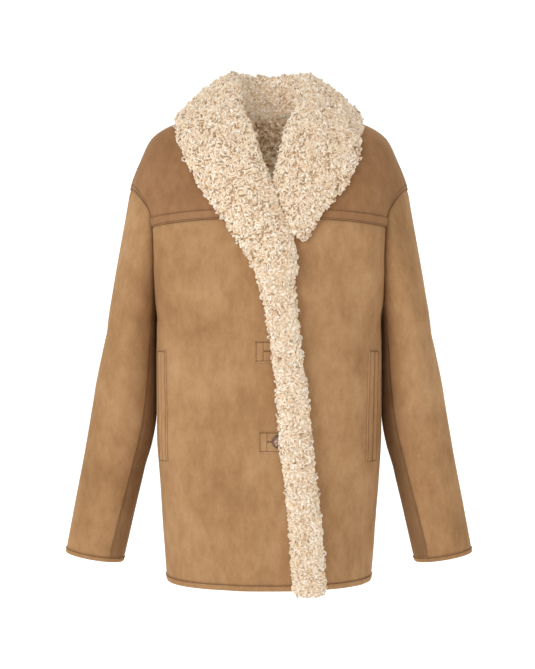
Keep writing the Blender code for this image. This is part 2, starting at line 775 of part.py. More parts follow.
# ---------------------------------------------------------------- the coat
def build_coat():
    for old in list(bpy.data.objects):
        bpy.data.objects.remove(old, do_unlink=True)
    collection = bpy.data.collections.new("faux_shearling_coat")
    bpy.context.scene.collection.children.link(collection)

    suede = make_material("suede", SUEDE_COLOUR, 0.9)
    yoke_cloth = make_material("suede_yoke", YOKE_COLOUR, 0.9)
    fur = make_material("fur", FUR_COLOUR, 0.95)
    lining = make_material("fur_lining", LINING_COLOUR, 0.95)
    button_material = make_material("button", BUTTON_COLOUR, 0.3)

    build_fronts(collection, suede, yoke_cloth)
    build_back(collection, suede)
    build_sleeves(collection, suede)
    build_back_lining(collection, lining)
    build_yoke_laps(collection, yoke_cloth)
    carrier = make_carrier()
    build_pockets(collection, suede)
    build_collar("collar_right", -1.0, LAPEL_RIGHT, carrier, fur, collection)
    build_collar("collar_left", 1.0, LAPEL_LEFT, carrier, fur, collection)
    build_front_fur(carrier, fur, collection)
    build_tabs(collection, carrier, suede, button_material)


build_coat()
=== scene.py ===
# %% [markdown]
# # A faux shearling coat
# The coat is tan faux suede with a curly cream fur collar that runs on down one front edge. It
# keeps the rounded shape of a worn coat, with nobody in it. The solids of the model give the size
# and place of every piece. This lesson makes the cloth, the sewing and the fur that the eye sees.

# %% Load the frame
import math

import bmesh
import bpy
import numpy as np
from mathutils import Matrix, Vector


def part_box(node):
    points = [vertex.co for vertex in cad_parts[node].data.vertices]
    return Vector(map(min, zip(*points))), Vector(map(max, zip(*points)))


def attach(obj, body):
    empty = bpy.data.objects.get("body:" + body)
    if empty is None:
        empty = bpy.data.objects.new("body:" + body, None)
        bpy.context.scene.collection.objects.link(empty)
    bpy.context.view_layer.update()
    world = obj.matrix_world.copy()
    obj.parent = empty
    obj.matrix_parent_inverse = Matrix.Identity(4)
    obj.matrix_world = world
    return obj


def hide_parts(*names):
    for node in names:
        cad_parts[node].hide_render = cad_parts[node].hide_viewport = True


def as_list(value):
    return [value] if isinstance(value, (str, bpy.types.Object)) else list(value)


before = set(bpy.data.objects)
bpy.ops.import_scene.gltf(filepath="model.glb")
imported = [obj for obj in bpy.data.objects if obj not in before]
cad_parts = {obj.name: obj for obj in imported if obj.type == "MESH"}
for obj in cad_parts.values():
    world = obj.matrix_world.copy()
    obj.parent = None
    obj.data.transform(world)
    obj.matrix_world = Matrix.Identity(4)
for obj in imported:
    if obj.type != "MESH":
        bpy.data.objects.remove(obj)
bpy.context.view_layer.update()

# %% [markdown]
# ## The camera
# The photograph looks straight at the coat from the front, level with its middle, through a long
# lens. A long lens keeps the sides of the coat from leaning, so the camera stands well back.

# %% Camera
CAMERA_DISTANCE = 2.4        # metres from the coat's middle plane
VIEW_HEIGHT = 1.104          # metres of height that the picture takes in at that plane
VIEW_CENTRE = Vector((-0.0025, 0.0, -0.329))
SENSOR = 36.0                # mm, along the picture's longer side

camera_data = bpy.data.cameras.new("camera")
camera_data.sensor_width = SENSOR
camera_data.lens = SENSOR * CAMERA_DISTANCE / VIEW_HEIGHT
camera_data.clip_start = 0.05
camera = bpy.data.objects.new("camera", camera_data)
bpy.context.scene.collection.objects.link(camera)
camera.location = VIEW_CENTRE + Vector((0.0, -CAMERA_DISTANCE, 0.0))
camera.rotation_euler = (math.radians(90.0), 0.0, 0.0)
bpy.context.scene.camera = camera
print("lens mm:", round(camera_data.lens, 1))

# %% [markdown]
# ## Floor and light
# A pale floor and large soft lamps give the even light of a studio picture. The main lamp is a
# little to the left, a weak one fills the other side, one lights the back, and the world lights the
# folds between the sleeves and the body. Colours, materials and meshes get a helper each, because
# every later piece needs them too.

# %% Helpers for colours, materials and meshes
def linear(hex_colour):
    """Linear red, green, blue and alpha from an sRGB hex colour."""
    values = [int(hex_colour[i:i + 2], 16) / 255.0 for i in (1, 3, 5)]
    return tuple(v / 12.92 if v <= 0.04045 else ((v + 0.055) / 1.055) ** 2.4 for v in values) + (1.0,)


def new_material(name, finish):
    """A material, its tree and its shader. finish: values of the shader's own sockets."""
    material = bpy.data.materials.new(name)
    material.use_nodes = True
    shader = material.node_tree.nodes["Principled BSDF"]
    for socket, value in finish.items():
        shader.inputs[socket].default_value = value
    return material, material.node_tree, shader


def make_mesh(name, verts, faces, materials, face_slots=None):
    """A smooth-shaded object from points in metres and faces."""
    mesh = bpy.data.meshes.new(name)
    mesh.from_pydata(verts.tolist(), [], faces)
    for material in materials:
        mesh.materials.append(material)
    if face_slots is not None:
        mesh.polygons.foreach_set("material_index", face_slots)
    mesh.update()
    mesh.shade_smooth()
    piece = bpy.data.objects.new(name, mesh)
    bpy.context.scene.collection.objects.link(piece)
    return piece


print("middle grey, linear:", round(linear("#808080")[0], 3))

# %% [markdown]
# ### Paper, world and lamps
# A studio hangs white paper from the ceiling and lets it run out over the floor in a bend, so that
# no edge shows behind the coat. Here the bend is a quarter circle of narrow strips.

# %% Floor and lamps
FLOOR_HEIGHT = -0.93         # metres, as are the lamps' sizes and places
FLOOR_REACH = 8.0
BACKDROP_DISTANCE = 2.6
BACKDROP_BEND = 1.2
BEND_STEPS = 12
WORLD_LIGHT = 0.62
#    name   size  energy  place
LAMPS = [
    ("key", 1.6, 33.0, (-1.8, -2.2, 0.8)),
    ("fill", 1.8, 4.0, (1.9, -2.1, -0.6)),
    ("back", 1.6, 16.0, (0.4, 1.8, 1.6)),
]

paper = new_material("seamless_paper", {
    "Base Color": linear("#F7F7F6"), "Roughness": 0.95,
    "Emission Color": linear("#FFFFFF"), "Emission Strength": 0.35})[0]
profile = [(-FLOOR_REACH, 0.0)]
for step in range(BEND_STEPS + 1):
    bend = math.radians(90.0 * step / BEND_STEPS)
    profile.append((BACKDROP_DISTANCE + BACKDROP_BEND * math.sin(bend),
                    BACKDROP_BEND * (1.0 - math.cos(bend))))
profile.append((BACKDROP_DISTANCE + BACKDROP_BEND, FLOOR_REACH))
floor_points = [(side * FLOOR_REACH, y, FLOOR_HEIGHT + z) for y, z in profile for side in (-1, 1)]
floor_faces = [(near, near + 1, near + 3, near + 2) for near in range(0, 2 * len(profile) - 2, 2)]
floor = make_mesh("floor", np.array(floor_points), floor_faces, [paper])

world = bpy.data.worlds.new("studio")
world.use_nodes = True
world.node_tree.nodes["Background"].inputs["Color"].default_value = (1.0, 1.0, 1.0, 1.0)
world.node_tree.nodes["Background"].inputs["Strength"].default_value = WORLD_LIGHT
bpy.context.scene.world = world

for lamp_name, size, energy, lamp_place in LAMPS:
    lamp_data = bpy.data.lights.new(lamp_name, "AREA")
    lamp_data.size = size
    lamp_data.energy = energy
    lamp = bpy.data.objects.new(lamp_name, lamp_data)
    bpy.context.scene.collection.objects.link(lamp)
    lamp.location = lamp_place
    lamp.rotation_euler = (VIEW_CENTRE - lamp.location).to_track_quat("-Z", "Y").to_euler()
bpy.context.scene.view_settings.view_transform = "Standard"
print("lamps:", len(LAMPS))

# %% [markdown]
# ## The cloth's material
# The cloth is bonded faux suede: a woven polyester brushed to a short nap and glued to a knitted
# pile. Brushing leaves soft patches that are lighter or darker by the way the nap lies, a dull
# surface and a faint glow at grazing angles. Noise at three real scales draws this on any shape,
# where a picture of suede would need the pieces laid out flat.

# %% A helper for nodes
def add_node(tree, kind, settings=None, links=None, stops=()):
    """Adds one node, sets its properties, inputs and colour stops, and links its inputs."""
    node = tree.nodes.new(kind)
    for name, value in (settings or {}).items():
        if name in node.inputs:
            node.inputs[name].default_value = value
        else:
            setattr(node, name, value)
    for name, socket in (links or {}).items():
        tree.links.new(socket, node.inputs[name])
    if stops:
        elements = node.color_ramp.elements
        for element, (position, colour) in zip(elements, (stops[0], stops[-1])):
            element.position = position
            element.color = linear(colour)
        for position, colour in stops[1:-1]:
            elements.new(position).color = linear(colour)
    return node


print("white, linear:", linear("#FFFFFF"))

# %% Faux suede, brushed
SUEDE_NAP_MM = 1.1           # a tuft of nap, drawn coarser than the real 0.2 mm so that it shows
SUEDE_NAP_DEPTH = 0.00035    # metres
SUEDE_PATCH_MM = 17.0        # a patch where the nap lies one way
SUEDE_STREAK = 0.55          # patches are 1 / 0.55 times as long down the cloth as across it
SUEDE_BLOTCH_MM = 120.0      # slow change of colour over a whole panel


def brushed_suede(name, dark, middle, light):
    """Faux suede of polyester, brushed: dull, patchy, with a soft glow at grazing angles."""
    material, tree, shader = new_material(name, {
        "Roughness": 0.92, "IOR": 1.46, "Specular IOR Level": 0.18,
        "Sheen Weight": 0.16, "Sheen Roughness": 0.45, "Sheen Tint": linear("#E8BE8C")})
    place = add_node(tree, "ShaderNodeTexCoord").outputs["Object"]
    streak = add_node(tree, "ShaderNodeMapping", {"Scale": (1.0, 1.0, SUEDE_STREAK)}, {"Vector": place})
    patch = add_node(tree, "ShaderNodeTexNoise",
                     {"Scale": 1000.0 / SUEDE_PATCH_MM, "Detail": 8.0, "Roughness": 0.72},
                     {"Vector": streak.outputs["Vector"]})
    blotch = add_node(tree, "ShaderNodeTexNoise",
                      {"Scale": 1000.0 / SUEDE_BLOTCH_MM, "Detail": 2.0, "Roughness": 0.5}, {"Vector": place})
    nap = add_node(tree, "ShaderNodeTexNoise",
                   {"Scale": 1000.0 / SUEDE_NAP_MM, "Detail": 3.0, "Roughness": 0.6}, {"Vector": place})
    slow = add_node(tree, "ShaderNodeMix", {"data_type": "FLOAT", "Factor": 0.45},
                    {"A": patch.outputs["Fac"], "B": blotch.outputs["Fac"]})
    both = add_node(tree, "ShaderNodeMix", {"data_type": "FLOAT", "Factor": 0.17},
                    {"A": slow.outputs["Result"], "B": nap.outputs["Fac"]})
    ramp = add_node(tree, "ShaderNodeValToRGB", {}, {"Fac": both.outputs["Result"]},
                    ((0.36, dark), (0.5, middle), (0.66, light)))
    tree.links.new(ramp.outputs["Color"], shader.inputs["Base Color"])
    bump = add_node(tree, "ShaderNodeBump", {"Strength": 0.55, "Distance": SUEDE_NAP_DEPTH},
                    {"Height": nap.outputs["Fac"]})
    tree.links.new(bump.outputs["Normal"], shader.inputs["Normal"])
    return material


suede = brushed_suede("faux_suede_brushed", "#946E49", "#A98159", "#BB956D")
# the yoke's suede is drawn darker: painted shade on the upper chest, which the light reaches less
suede_yoke = brushed_suede("faux_suede_brushed_yoke_painted_shade", "#866040", "#966E4B", "#A67E5A")
# the under sleeve's suede is drawn darker: painted shade where it lies beside the body
suede_under_painted_shade = brushed_suede("faux_suede_brushed_under_painted_shade", "#7A5A3C", "#8C6A49", "#9B7957")
print("suede nap noise scale:", round(1000.0 / SUEDE_NAP_MM))

# %% [markdown]
# ## The fur's materials
# The fur is acrylic pile, steamed into curls: warm at the roots, cream further out, and nearly
# white at the tips. The darker roots are painted shade between the curls, and the pale tips a painted
# highlight. A small glow, painted light, stands for light that passes on from curl to curl and lifts
# that shade. The curls are real meshes here, so the material only reads the tone that each one carries.

# %% Acrylic fur, steamed into curls
# PILE_GLOW and LINING_GLOW are emission: painted light that lifts the shade between the curls
PILE_GLOW = 0.23
LINING_GLOW = 0.2
PILE_SOFTNESS = 0.5          # how far a curl is lit like the whole pile that it lies in
PILE_LOOP_MM = 3.4           # a loop of the short pile on the inside of the cloth


def curled_fur(name, root, shade, body_colour, tip, glow):
    """Acrylic pile, coloured from root to tip by each point's tone: painted shade to painted highlight."""
    material, tree, shader = new_material(name, {
        "Emission Strength": glow, "Roughness": 0.7, "IOR": 1.49, "Specular IOR Level": 0.25,
        "Sheen Weight": 0.12, "Sheen Tint": linear("#F4DDBB")})
    tone = add_node(tree, "ShaderNodeAttribute", {"attribute_name": "tone"})
    ramp = add_node(tree, "ShaderNodeValToRGB", {}, {"Fac": tone.outputs["Fac"]},
                    ((0.0, root), (0.35, shade), (0.65, body_colour), (1.0, tip)))
    tree.links.new(ramp.outputs["Color"], shader.inputs["Base Color"])
    # the ramp's colours also glow as emission: painted light
    tree.links.new(ramp.outputs["Color"], shader.inputs["Emission Color"])
    lay = add_node(tree, "ShaderNodeAttribute", {"attribute_name": "lay"})
    own = add_node(tree, "ShaderNodeNewGeometry")
    lean = add_node(tree, "ShaderNodeMix", {"data_type": "VECTOR", "Factor": PILE_SOFTNESS})
    tree.links.new(own.outputs["Normal"], lean.inputs[4])
    tree.links.new(lay.outputs["Vector"], lean.inputs[5])
    tree.links.new(lean.outputs[1], shader.inputs["Normal"])
    return material


def knitted_pile(name, dark, light):
    """The short pile on the inside of the cloth: tight loops, with painted shade in the gaps between them."""
    material, tree, shader = new_material(name, {"Roughness": 0.9, "Sheen Weight": 0.2})
    place = add_node(tree, "ShaderNodeTexCoord").outputs["Object"]
    loops = add_node(tree, "ShaderNodeTexVoronoi", {"Scale": 1000.0 / PILE_LOOP_MM}, {"Vector": place})
    ramp = add_node(tree, "ShaderNodeValToRGB", {}, {"Fac": loops.outputs["Distance"]},
                    ((0.0, light), (0.75, dark)))
    tree.links.new(ramp.outputs["Color"], shader.inputs["Base Color"])
    bump = add_node(tree, "ShaderNodeBump", {"Strength": 1.0, "Distance": 0.002, "invert": True},
                    {"Height": loops.outputs["Distance"]})
    tree.links.new(bump.outputs["Normal"], shader.inputs["Normal"])
    return material


fur = curled_fur("acrylic_fur_curled", "#BC966E", "#D4B28C", "#E0C9AC", "#F1E5D4", PILE_GLOW)
# the lining's fur has darker roots and shades: painted shade under the collar
fur_inside_painted_shade = curled_fur("acrylic_fur_curled_inside_painted_shade", "#725840", "#B08E6A", "#DDC19B", "#F6E6CA",
                        LINING_GLOW)
pile = knitted_pile("acrylic_pile_knitted", "#B39370", "#E4D0B2")
print("pile glow:", PILE_GLOW, LINING_GLOW)

# %% [markdown]
# ## Thread and resin
# The seams are sewn with spun polyester, darker than the cloth and a little glossy. The button is
# polyester resin, pressed and polished, with pearly swirls under a clear surface. Noise that is
# pushed along itself gives such swirls, where rings or stripes would look like wood.

# %% Sewing thread and the button's resin
THREAD_SCALE = 900.0         # twists of the thread to a metre
SWIRL_MM = 6.25              # width of a swirl


def spun_thread(name, dark, light):
    """Polyester sewing thread, spun and twisted: darker than the cloth, slightly glossy."""
    material, tree, shader = new_material(name, {"Roughness": 0.55})
    place = add_node(tree, "ShaderNodeTexCoord").outputs["Object"]
    twist = add_node(tree, "ShaderNodeTexNoise", {"Scale": THREAD_SCALE, "Detail": 2.0}, {"Vector": place})
    ramp = add_node(tree, "ShaderNodeValToRGB", {}, {"Fac": twist.outputs["Fac"]},
                    ((0.0, dark), (1.0, light)))
    tree.links.new(ramp.outputs["Color"], shader.inputs["Base Color"])
    return material


def pressed_resin(name, dark, light):
    """Polyester resin, pressed and polished: pearly swirls under a clear glossy surface."""
    material, tree, shader = new_material(name, {
        "Roughness": 0.18, "IOR": 1.55, "Coat Weight": 0.6, "Coat Roughness": 0.06})
    place = add_node(tree, "ShaderNodeTexCoord").outputs["Object"]
    swirl = add_node(tree, "ShaderNodeTexNoise",
                     {"Scale": 1000.0 / SWIRL_MM, "Detail": 4.0, "Distortion": 1.6}, {"Vector": place})
    ramp = add_node(tree, "ShaderNodeValToRGB", {}, {"Fac": swirl.outputs["Fac"]},
                    ((0.35, dark), (0.68, light)))
    tree.links.new(ramp.outputs["Color"], shader.inputs["Base Color"])
    return material


thread = spun_thread("polyester_thread_spun", "#4A2D16", "#6E4726")
resin_rim = pressed_resin("polyester_resin_pressed_rim", "#3A2A22", "#5C463A")
resin_face = pressed_resin("polyester_resin_pressed_face", "#6E5145", "#D3A68A")
print("materials:", len(bpy.data.materials))

# %% [markdown]
# ## The form of the coat
# A pattern cutter draws flat pieces. Here each piece is cut from one smooth form instead, which
# short tables describe in millimetres: rings of the body, the shoulder line, the armhole and rings
# of the sleeve. Neighbouring pieces read the same form, so their edges meet like a sewn seam. The
# solids were made on this form too, so cloth and solids keep the same places.

# %% Curves through tables
MM = 0.001                   # metres in a millimetre: all tables are in millimetres
SEAM = 0.3                   # mm between neighbouring pieces
SOLVE_STEPS = 24             # halvings, enough for a ten thousandth of a millimetre
SIDES = (("right", -1.0), ("left", 1.0))     # the wearer's right is at minus X


def table_at(rows, keys):
    """Every column of a table at the keys, on a smooth curve through the rows."""
    rows = np.array(rows, dtype=float)
    keys = np.asarray(keys, dtype=float)
    places, values = rows[:, 0], rows[:, 1:]
    span = np.diff(places)
    rise = np.diff(values, axis=0) / span[:, None]
    slope = np.zeros_like(values)
    slope[0], slope[-1] = rise[0], rise[-1]
    before, after = rise[:-1], rise[1:]
    same_way = before * after > 0.0
    slope[1:-1] = np.where(same_way, 2.0 * before * after / np.where(same_way, before + after, 1.0), 0.0)
    keys = np.clip(keys, places[0], places[-1])
    index = np.clip(np.searchsorted(places, keys, side="right") - 1, 0, len(places) - 2)
    share = ((keys - places[index]) / span[index])[..., None]
    bend = slope[index] * share * (1.0 - share) ** 2 + slope[index + 1] * share ** 2 * (share - 1.0)
    return (values[index] + (values[index + 1] - values[index]) * share ** 2 * (3.0 - 2.0 * share)
            + bend * span[index][..., None])


def ease(low, high, value):
    """0 up to low, 1 from high, and a smooth step between them."""
    share = np.clip((np.asarray(value, dtype=float) - low) / (high - low), 0.0, 1.0)
    return share * share * (3.0 - 2.0 * share)


def mix(a, b, share):
    return a + (b - a) * share


def stack(x, y, z):
    return np.stack(np.broadcast_arrays(x, y, z), axis=-1)


def solve(function, low, high):
    """Where a rising function crosses zero, for every element of the arrays low and high."""
    low, high = np.array(low, dtype=float), np.array(high, dtype=float)
    for _ in range(SOLVE_STEPS):
        middle = 0.5 * (low + high)
        under = function(middle) < 0.0
        low = np.where(under, middle, low)
        high = np.where(under, high, middle)
    return 0.5 * (low + high)


print("root of x * x - 2:", round(float(solve(lambda x: x * x - 2.0, 0.0, 2.0)), 4))

# %% [markdown]
# ### The body
# Below the armpits the body is a stack of rounded rings, fuller in front than behind. Above them it
# is a patch between four lines: the armpit ring, the shoulder, the middle and the armhole. A patch
# was chosen over more rings, because the shoulders slope and the armholes cut across any ring.

# %% Body form
HEM_HEIGHT, ARMPIT_HEIGHT, NECK_HEIGHT = -728.0, -302.0, 62.0
BODY_RISE = ARMPIT_HEIGHT - HEM_HEIGHT
WALL = 4.0
LAP_LIFT, LAP_START, LAP_FULL = WALL + 1.4, -78.0, -32.0

#   height  half_width  front_depth  back_depth  squareness
BODY_RINGS = [
    (-728, 167.5, 139, 128, 2.5),
    (-667, 171, 139, 128, 2.6),
    (-600, 175.5, 138, 127, 2.8),
    (-540, 180, 137, 126, 2.9),
    (-486, 183.5, 136, 125, 3),
    (-380, 184, 134, 124, 3.1),
    (-302, 182.5, 132, 122, 3.1),
]
#   share    x      z
SHOULDER = [
    (0.00, 0, NECK_HEIGHT), (0.26, 75, 40), (0.45, 130, 25), (0.60, 170, 10),
    (0.70, 194, -8), (0.82, 211, -41), (0.94, 226, -77), (1.00, 230, -91),
]
#   share    x      y      z
ARMHOLE = [
    (0.00, 182.5, 0, -302), (0.10, 184, -34, -268), (0.20, 184, -58, -225),
    (0.30, 184.5, -70, -180), (0.40, 188, -72, -143), (0.55, 203, -57, -115),
    (0.75, 218, -33, -99), (1.00, 230, 0, -91),
]
QUARTER = math.pi / 2.0
MIDDLE_POWER = {1: 0.8, -1: 0.62}            # how full the middle line is, in front and behind
BACK_ARMHOLE = 1.06                          # the armhole reaches this much further behind
FOLD_X, FOLD_WIDTH, FOLD_HEIGHT = 187.0, 8.0, 3.5        # the fold of cloth beside the armhole
FOLD_SHARES = (0.42, 0.54, 0.6, 0.82)        # between the armpit and the shoulder


def ring_point(across, height, side):
    rings = table_at(BODY_RINGS, height)
    half_width, squareness = rings[..., 0], rings[..., 3]
    depth = rings[..., 1] if side > 0 else rings[..., 2]
    angle = np.abs(across) * QUARTER
    part = (np.sin(angle) / half_width) ** squareness
    part = part + (np.maximum(np.cos(angle), 0.0) / depth) ** squareness
    radius = part ** (-1.0 / squareness)
    return stack(radius * np.sin(angle), -side * radius * np.cos(angle), np.asarray(height) + 0.0 * angle)


def middle_point(share, side):
    depth = ring_point(np.zeros(1), ARMPIT_HEIGHT, side)[0, 1]
    y = depth * np.cos(share * QUARTER) ** MIDDLE_POWER[side]
    return stack(0.0, y, mix(ARMPIT_HEIGHT, NECK_HEIGHT, np.sin(share * QUARTER)))


def armhole_point(share, side):
    point = table_at(ARMHOLE, share)
    point[..., 1] *= 1.0 if side > 0 else -BACK_ARMHOLE
    return point


def chest_point(across, share, side):
    """Between the armpit ring, the shoulder line, the middle line and the armhole."""
    across, share = np.broadcast_arrays(np.abs(across), share)
    weight = stack(share, 1.0 - np.cos(share * QUARTER), np.sin(share * QUARTER))
    line = table_at(SHOULDER, across)
    top = stack(line[..., 0], 0.0, line[..., 1])
    form = mix(ring_point(across, ARMPIT_HEIGHT, side), top, weight)
    zero, one = np.zeros(1), np.ones(1)
    middle = middle_point(share, side) - mix(middle_point(zero, side), middle_point(one, side), weight)
    edge = armhole_point(share, side) - mix(armhole_point(zero, side), armhole_point(one, side), weight)
    to_edge = (across ** 3)[..., None]
    point = form + middle * (1.0 - to_edge) + edge * to_edge
    fold = np.exp(-((point[..., 0] - FOLD_X) / FOLD_WIDTH) ** 2)
    fold = fold * ease(*FOLD_SHARES[:2], share) * (1.0 - ease(*FOLD_SHARES[2:], share))
    point[..., 1] += side * FOLD_HEIGHT * fold
    return point


def body(across, up, side):
    """The coat's outer form. up: 0 at the hem, 1 at the armpit, 2 at the shoulder seam."""
    across, up = np.broadcast_arrays(np.asarray(across, dtype=float), np.asarray(up, dtype=float))
    low = ring_point(across, mix(HEM_HEIGHT, ARMPIT_HEIGHT, np.clip(up, 0.0, 1.0)), side)
    high = chest_point(across, np.clip(up - 1.0, 0.0, 1.0), side)
    point = np.where((up <= 1.0)[..., None], low, high)
    point[..., 0] *= np.where(across < 0.0, -1.0, 1.0)
    point[..., 1] = np.where(up >= 2.0, -side * 0.5 * SEAM, point[..., 1])
    return point


def row_of(height):
    """The row at a height between the hem and the armpit."""
    return (height - HEM_HEIGHT) / BODY_RISE


def across_at(x, up):
    """How far across a row of the front reaches X."""
    x, up = np.broadcast_arrays(np.asarray(x, dtype=float), np.asarray(up, dtype=float))
    return solve(lambda share: body(share, up, 1)[..., 0] - x, np.full(x.shape, -1.0), np.ones(x.shape))


YOKE_LINE = [(0.0, -138.0), (60.0, -146.0), (120.0, -150.0), (186.0, -157.0)]


def number(value):
    """One number from a small array."""
    return float(np.ravel(value)[0])


def yoke_row(across, above=0.0):
    """The row at which the yoke seam, or a line above it, crosses the front."""
    across = np.asarray(across, dtype=float)

    def height_over_seam(up):
        point = body(across, up, 1)
        return point[..., 2] - table_at(YOKE_LINE, np.abs(point[..., 0]))[..., 0] - above
    return solve(height_over_seam, np.ones(across.shape), np.full(across.shape, 1.9))


print("yoke seam rows:", np.round(yoke_row(np.array([0.0, 0.5, 0.95])), 3))

# %% [markdown]
# ### The sleeves
# A sleeve is a bent tube that hangs from the armhole. Its upper part runs smoothly from the armhole
# into the first ring, and the rings below follow the arm outward to the cuff.

# %% Sleeve form
#   share  centre_x  centre_z  half_width  half_depth  tilt_degrees
SLEEVE_RINGS = [
    (0.22, 227, -332, 40.5, 74, 8),
    (0.45, 238, -430, 49.5, 69, 10),
    (0.65, 251.5, -520, 51, 62, 11),
    (0.85, 270.5, -612, 49.5, 54, 11),
    (1.00, 287.5, -694, 48, 47, 10),
]
FRONT_SEAM = [(0.0, 0.43), (0.5, 0.385), (1.0, 0.352)]
BACK_SEAM = [(0.0, 0.60), (0.5, 0.64), (1.0, 0.66)]
SLEEVE_PRESS = [(0.0, 0.0), (0.14, 0.4), (0.22, 2.0), (0.34, 3.4), (0.45, 4.4), (0.53, 6.6), (0.6, 5.0),
                (0.7, 0.0), (1.0, 0.0)]
FIRST_RING = SLEEVE_RINGS[0][0]
ARMHOLE_SEAM = 0.3
PRESS_WIDTH = 0.13                           # turns round the sleeve to either side
HEAD_PULL = (0.16, -0.22)                    # outward, and forward or backward, for each mm down
RING_PULL = np.array([0.12, 0.0, -1.0])


def sleeve_ring(turn, share):
    ring = table_at(SLEEVE_RINGS, share)
    angle = turn * 2.0 * math.pi
    reach = ring[..., 2] * np.cos(angle)
    tilt = np.radians(ring[..., 4])
    return stack(ring[..., 0] + reach * np.cos(tilt), -ring[..., 3] * np.sin(angle),
                 ring[..., 1] + reach * np.sin(tilt))


def sleeve(turn, share):
    """The left sleeve's outer form. turn: 0 outside, 0.25 front, 0.5 at the body, 0.75 back."""
    turn, share = np.broadcast_arrays(np.asarray(turn, dtype=float) % 1.0, share)
    rings = sleeve_ring(turn, np.maximum(share, FIRST_RING))
    in_front = (turn <= 0.5)[..., None]
    start = np.where(in_front, armhole_point(np.clip(1.0 - 2.0 * turn, 0.0, 1.0), 1),
                     armhole_point(np.clip(2.0 * turn - 1.0, 0.0, 1.0), -1))
    end = sleeve_ring(turn, np.full(turn.shape, FIRST_RING))
    length = np.linalg.norm(end - start, axis=-1, keepdims=True)
    start = start + (end - start) / length * ARMHOLE_SEAM
    start[..., 0] += ARMHOLE_SEAM * (1.0 - ease(0.5, 0.9, np.abs(1.0 - 2.0 * turn)))
    pull = stack(HEAD_PULL[0], HEAD_PULL[1] * np.sin(turn * 2.0 * math.pi), -1.0)
    start_pull = pull / np.linalg.norm(pull, axis=-1, keepdims=True) * length
    end_pull = RING_PULL / np.linalg.norm(RING_PULL) * length
    part = (np.clip(share, 0.0, FIRST_RING) / FIRST_RING)[..., None]
    head = start * (1.0 + 2.0 * part) * (1.0 - part) ** 2 + end * part ** 2 * (3.0 - 2.0 * part)
    head = head + start_pull * part * (1.0 - part) ** 2 + end_pull * part ** 2 * (part - 1.0)
    whole = np.where((share >= FIRST_RING)[..., None], rings, head)
    # the under sleeve is pressed in until it nearly lies against the side of the body
    whole[..., 0] -= np.exp(-((turn - 0.5) / PRESS_WIDTH) ** 2) * table_at(SLEEVE_PRESS, share)[..., 0]
    return whole


print("cuff width mm:", round(2.0 * SLEEVE_RINGS[-1][3]))

# %% [markdown]
# ## Creases
# A worn coat creases where the arm bends and where the cloth hangs from the shoulder. Creases are
# soft troughs laid along listed lines, in real sizes, and uneven, because cloth never folds
# twice in the same way. A cloth simulation would place them by chance, not where they are here.

# %% Creases along listed lines
#   face    x0      z0      x1      z1     width  depth   (mm; face -1 front, 1 back)
CREASES = [
    (-1, -176, -166, -172, -240, 9, 0.8),
    (-1, 176, -170, 171, -250, 10, 0.9),
    (-1, -196, -300, -243, -268, 11, 2.2),
    (-1, -200, -338, -262, -322, 12, 2),
    (-1, 199, -306, 250, -262, 12, 2.4),
    (-1, 203, -352, 266, -330, 10, 1.8),
    (-1, -226, -452, -286, -438, 11, 1.9),
    (-1, -214, -490, -262, -500, 9, 1.5),
    (-1, 222, -462, 288, -446, 12, 2.1),
    (-1, 219, -508, 274, -522, 9, 1.5),
    (-1, -262, -600, -318, -640, 10, 1.4),
    (-1, 258, -590, 322, -628, 10, 1.5),
    (-1, -120, -190, -92, -330, 26, 1.8),
    (-1, 118, -188, 96, -352, 28, 2),
    (-1, -150, -240, -118, -300, 16, 1.6),
    (-1, 152, -236, 124, -290, 15, 1.4),
    (-1, -140, -560, -126, -722, 24, 2.2),
    (-1, 146, -552, 136, -722, 20, 2.6),
    (-1, 160, -640, 158, -724, 8, 2.6),
    (-1, -82, -600, -74, -724, 26, 1.5),
    (-1, -60, -300, -40, -420, 24, 1.3),
    (-1, 96, -470, 110, -640, 30, 1.6),
    (1, -182, -166, -176, -240, 10, 3),
    (1, 182, -160, 176, -236, 9, 3),
    (1, -198, -306, -246, -270, 11, 2.2),
    (1, 201, -312, 252, -280, 12, 2.2),
    (1, -222, -470, -286, -440, 12, 2.4),
    (1, 226, -456, 290, -432, 13, 2.5),
    (1, -232, -512, -290, -498, 10, 1.8),
    (1, 230, -520, 292, -505, 11, 1.9),
    (1, -110, -150, -60, -330, 30, 2.4),
    (1, 104, -140, 66, -350, 32, 2.2),
    (1, -130, -440, -96, -724, 30, 3),
    (1, 128, -470, 104, -724, 28, 2.8),
    (1, -20, -400, -10, -724, 34, 2.6),
    (1, 30, -60, 18, -220, 30, 1.6),
]
CREASE_STRENGTH = 1.5
CREASE_WOBBLE = 0.3          # share of the depth that comes and goes along a crease
CREASE_FACING = (4.0, 30.0)  # mm in front of or behind the middle plane, where creases fade in
RIDGE = 0.4                  # the low ridge beside a trough, as a share of its depth


def crease_depth(points):
    """How far the creases press each point in, in millimetres."""
    depth = np.zeros(points.shape[:-1])
    x, y, z = points[..., 0], points[..., 1], points[..., 2]
    for face, x0, z0, x1, z1, width, deep in CREASES:
        run_x, run_z = x1 - x0, z1 - z0
        length = math.hypot(run_x, run_z)
        along = ((x - x0) * run_x + (z - z0) * run_z) / length ** 2
        held = np.clip(along, 0.0, 1.0)
        away = np.hypot(x - x0 - held * run_x, z - z0 - held * run_z)
        wobble = 1.0 + CREASE_WOBBLE * np.sin(along * 7.0 + x0 * 0.1)
        taper = np.sin(np.clip(along, 0.04, 0.96) * math.pi) ** 0.6
        facing = ease(*CREASE_FACING, face * y)
        trough = np.exp(-(away / width) ** 2) - RIDGE * np.exp(-((away - 2.0 * width) / width) ** 2)
        depth += deep * wobble * taper * facing * trough
    return CREASE_STRENGTH * depth


print("creases:", len(CREASES))


# %% [markdown]
# ## Closing the cloth
# Real edges are turned in and pressed, so they are round and sink in to the seam. Rows of points lie
# closer together near an edge, and there the outer grid curves in. The piece is one closed mesh.

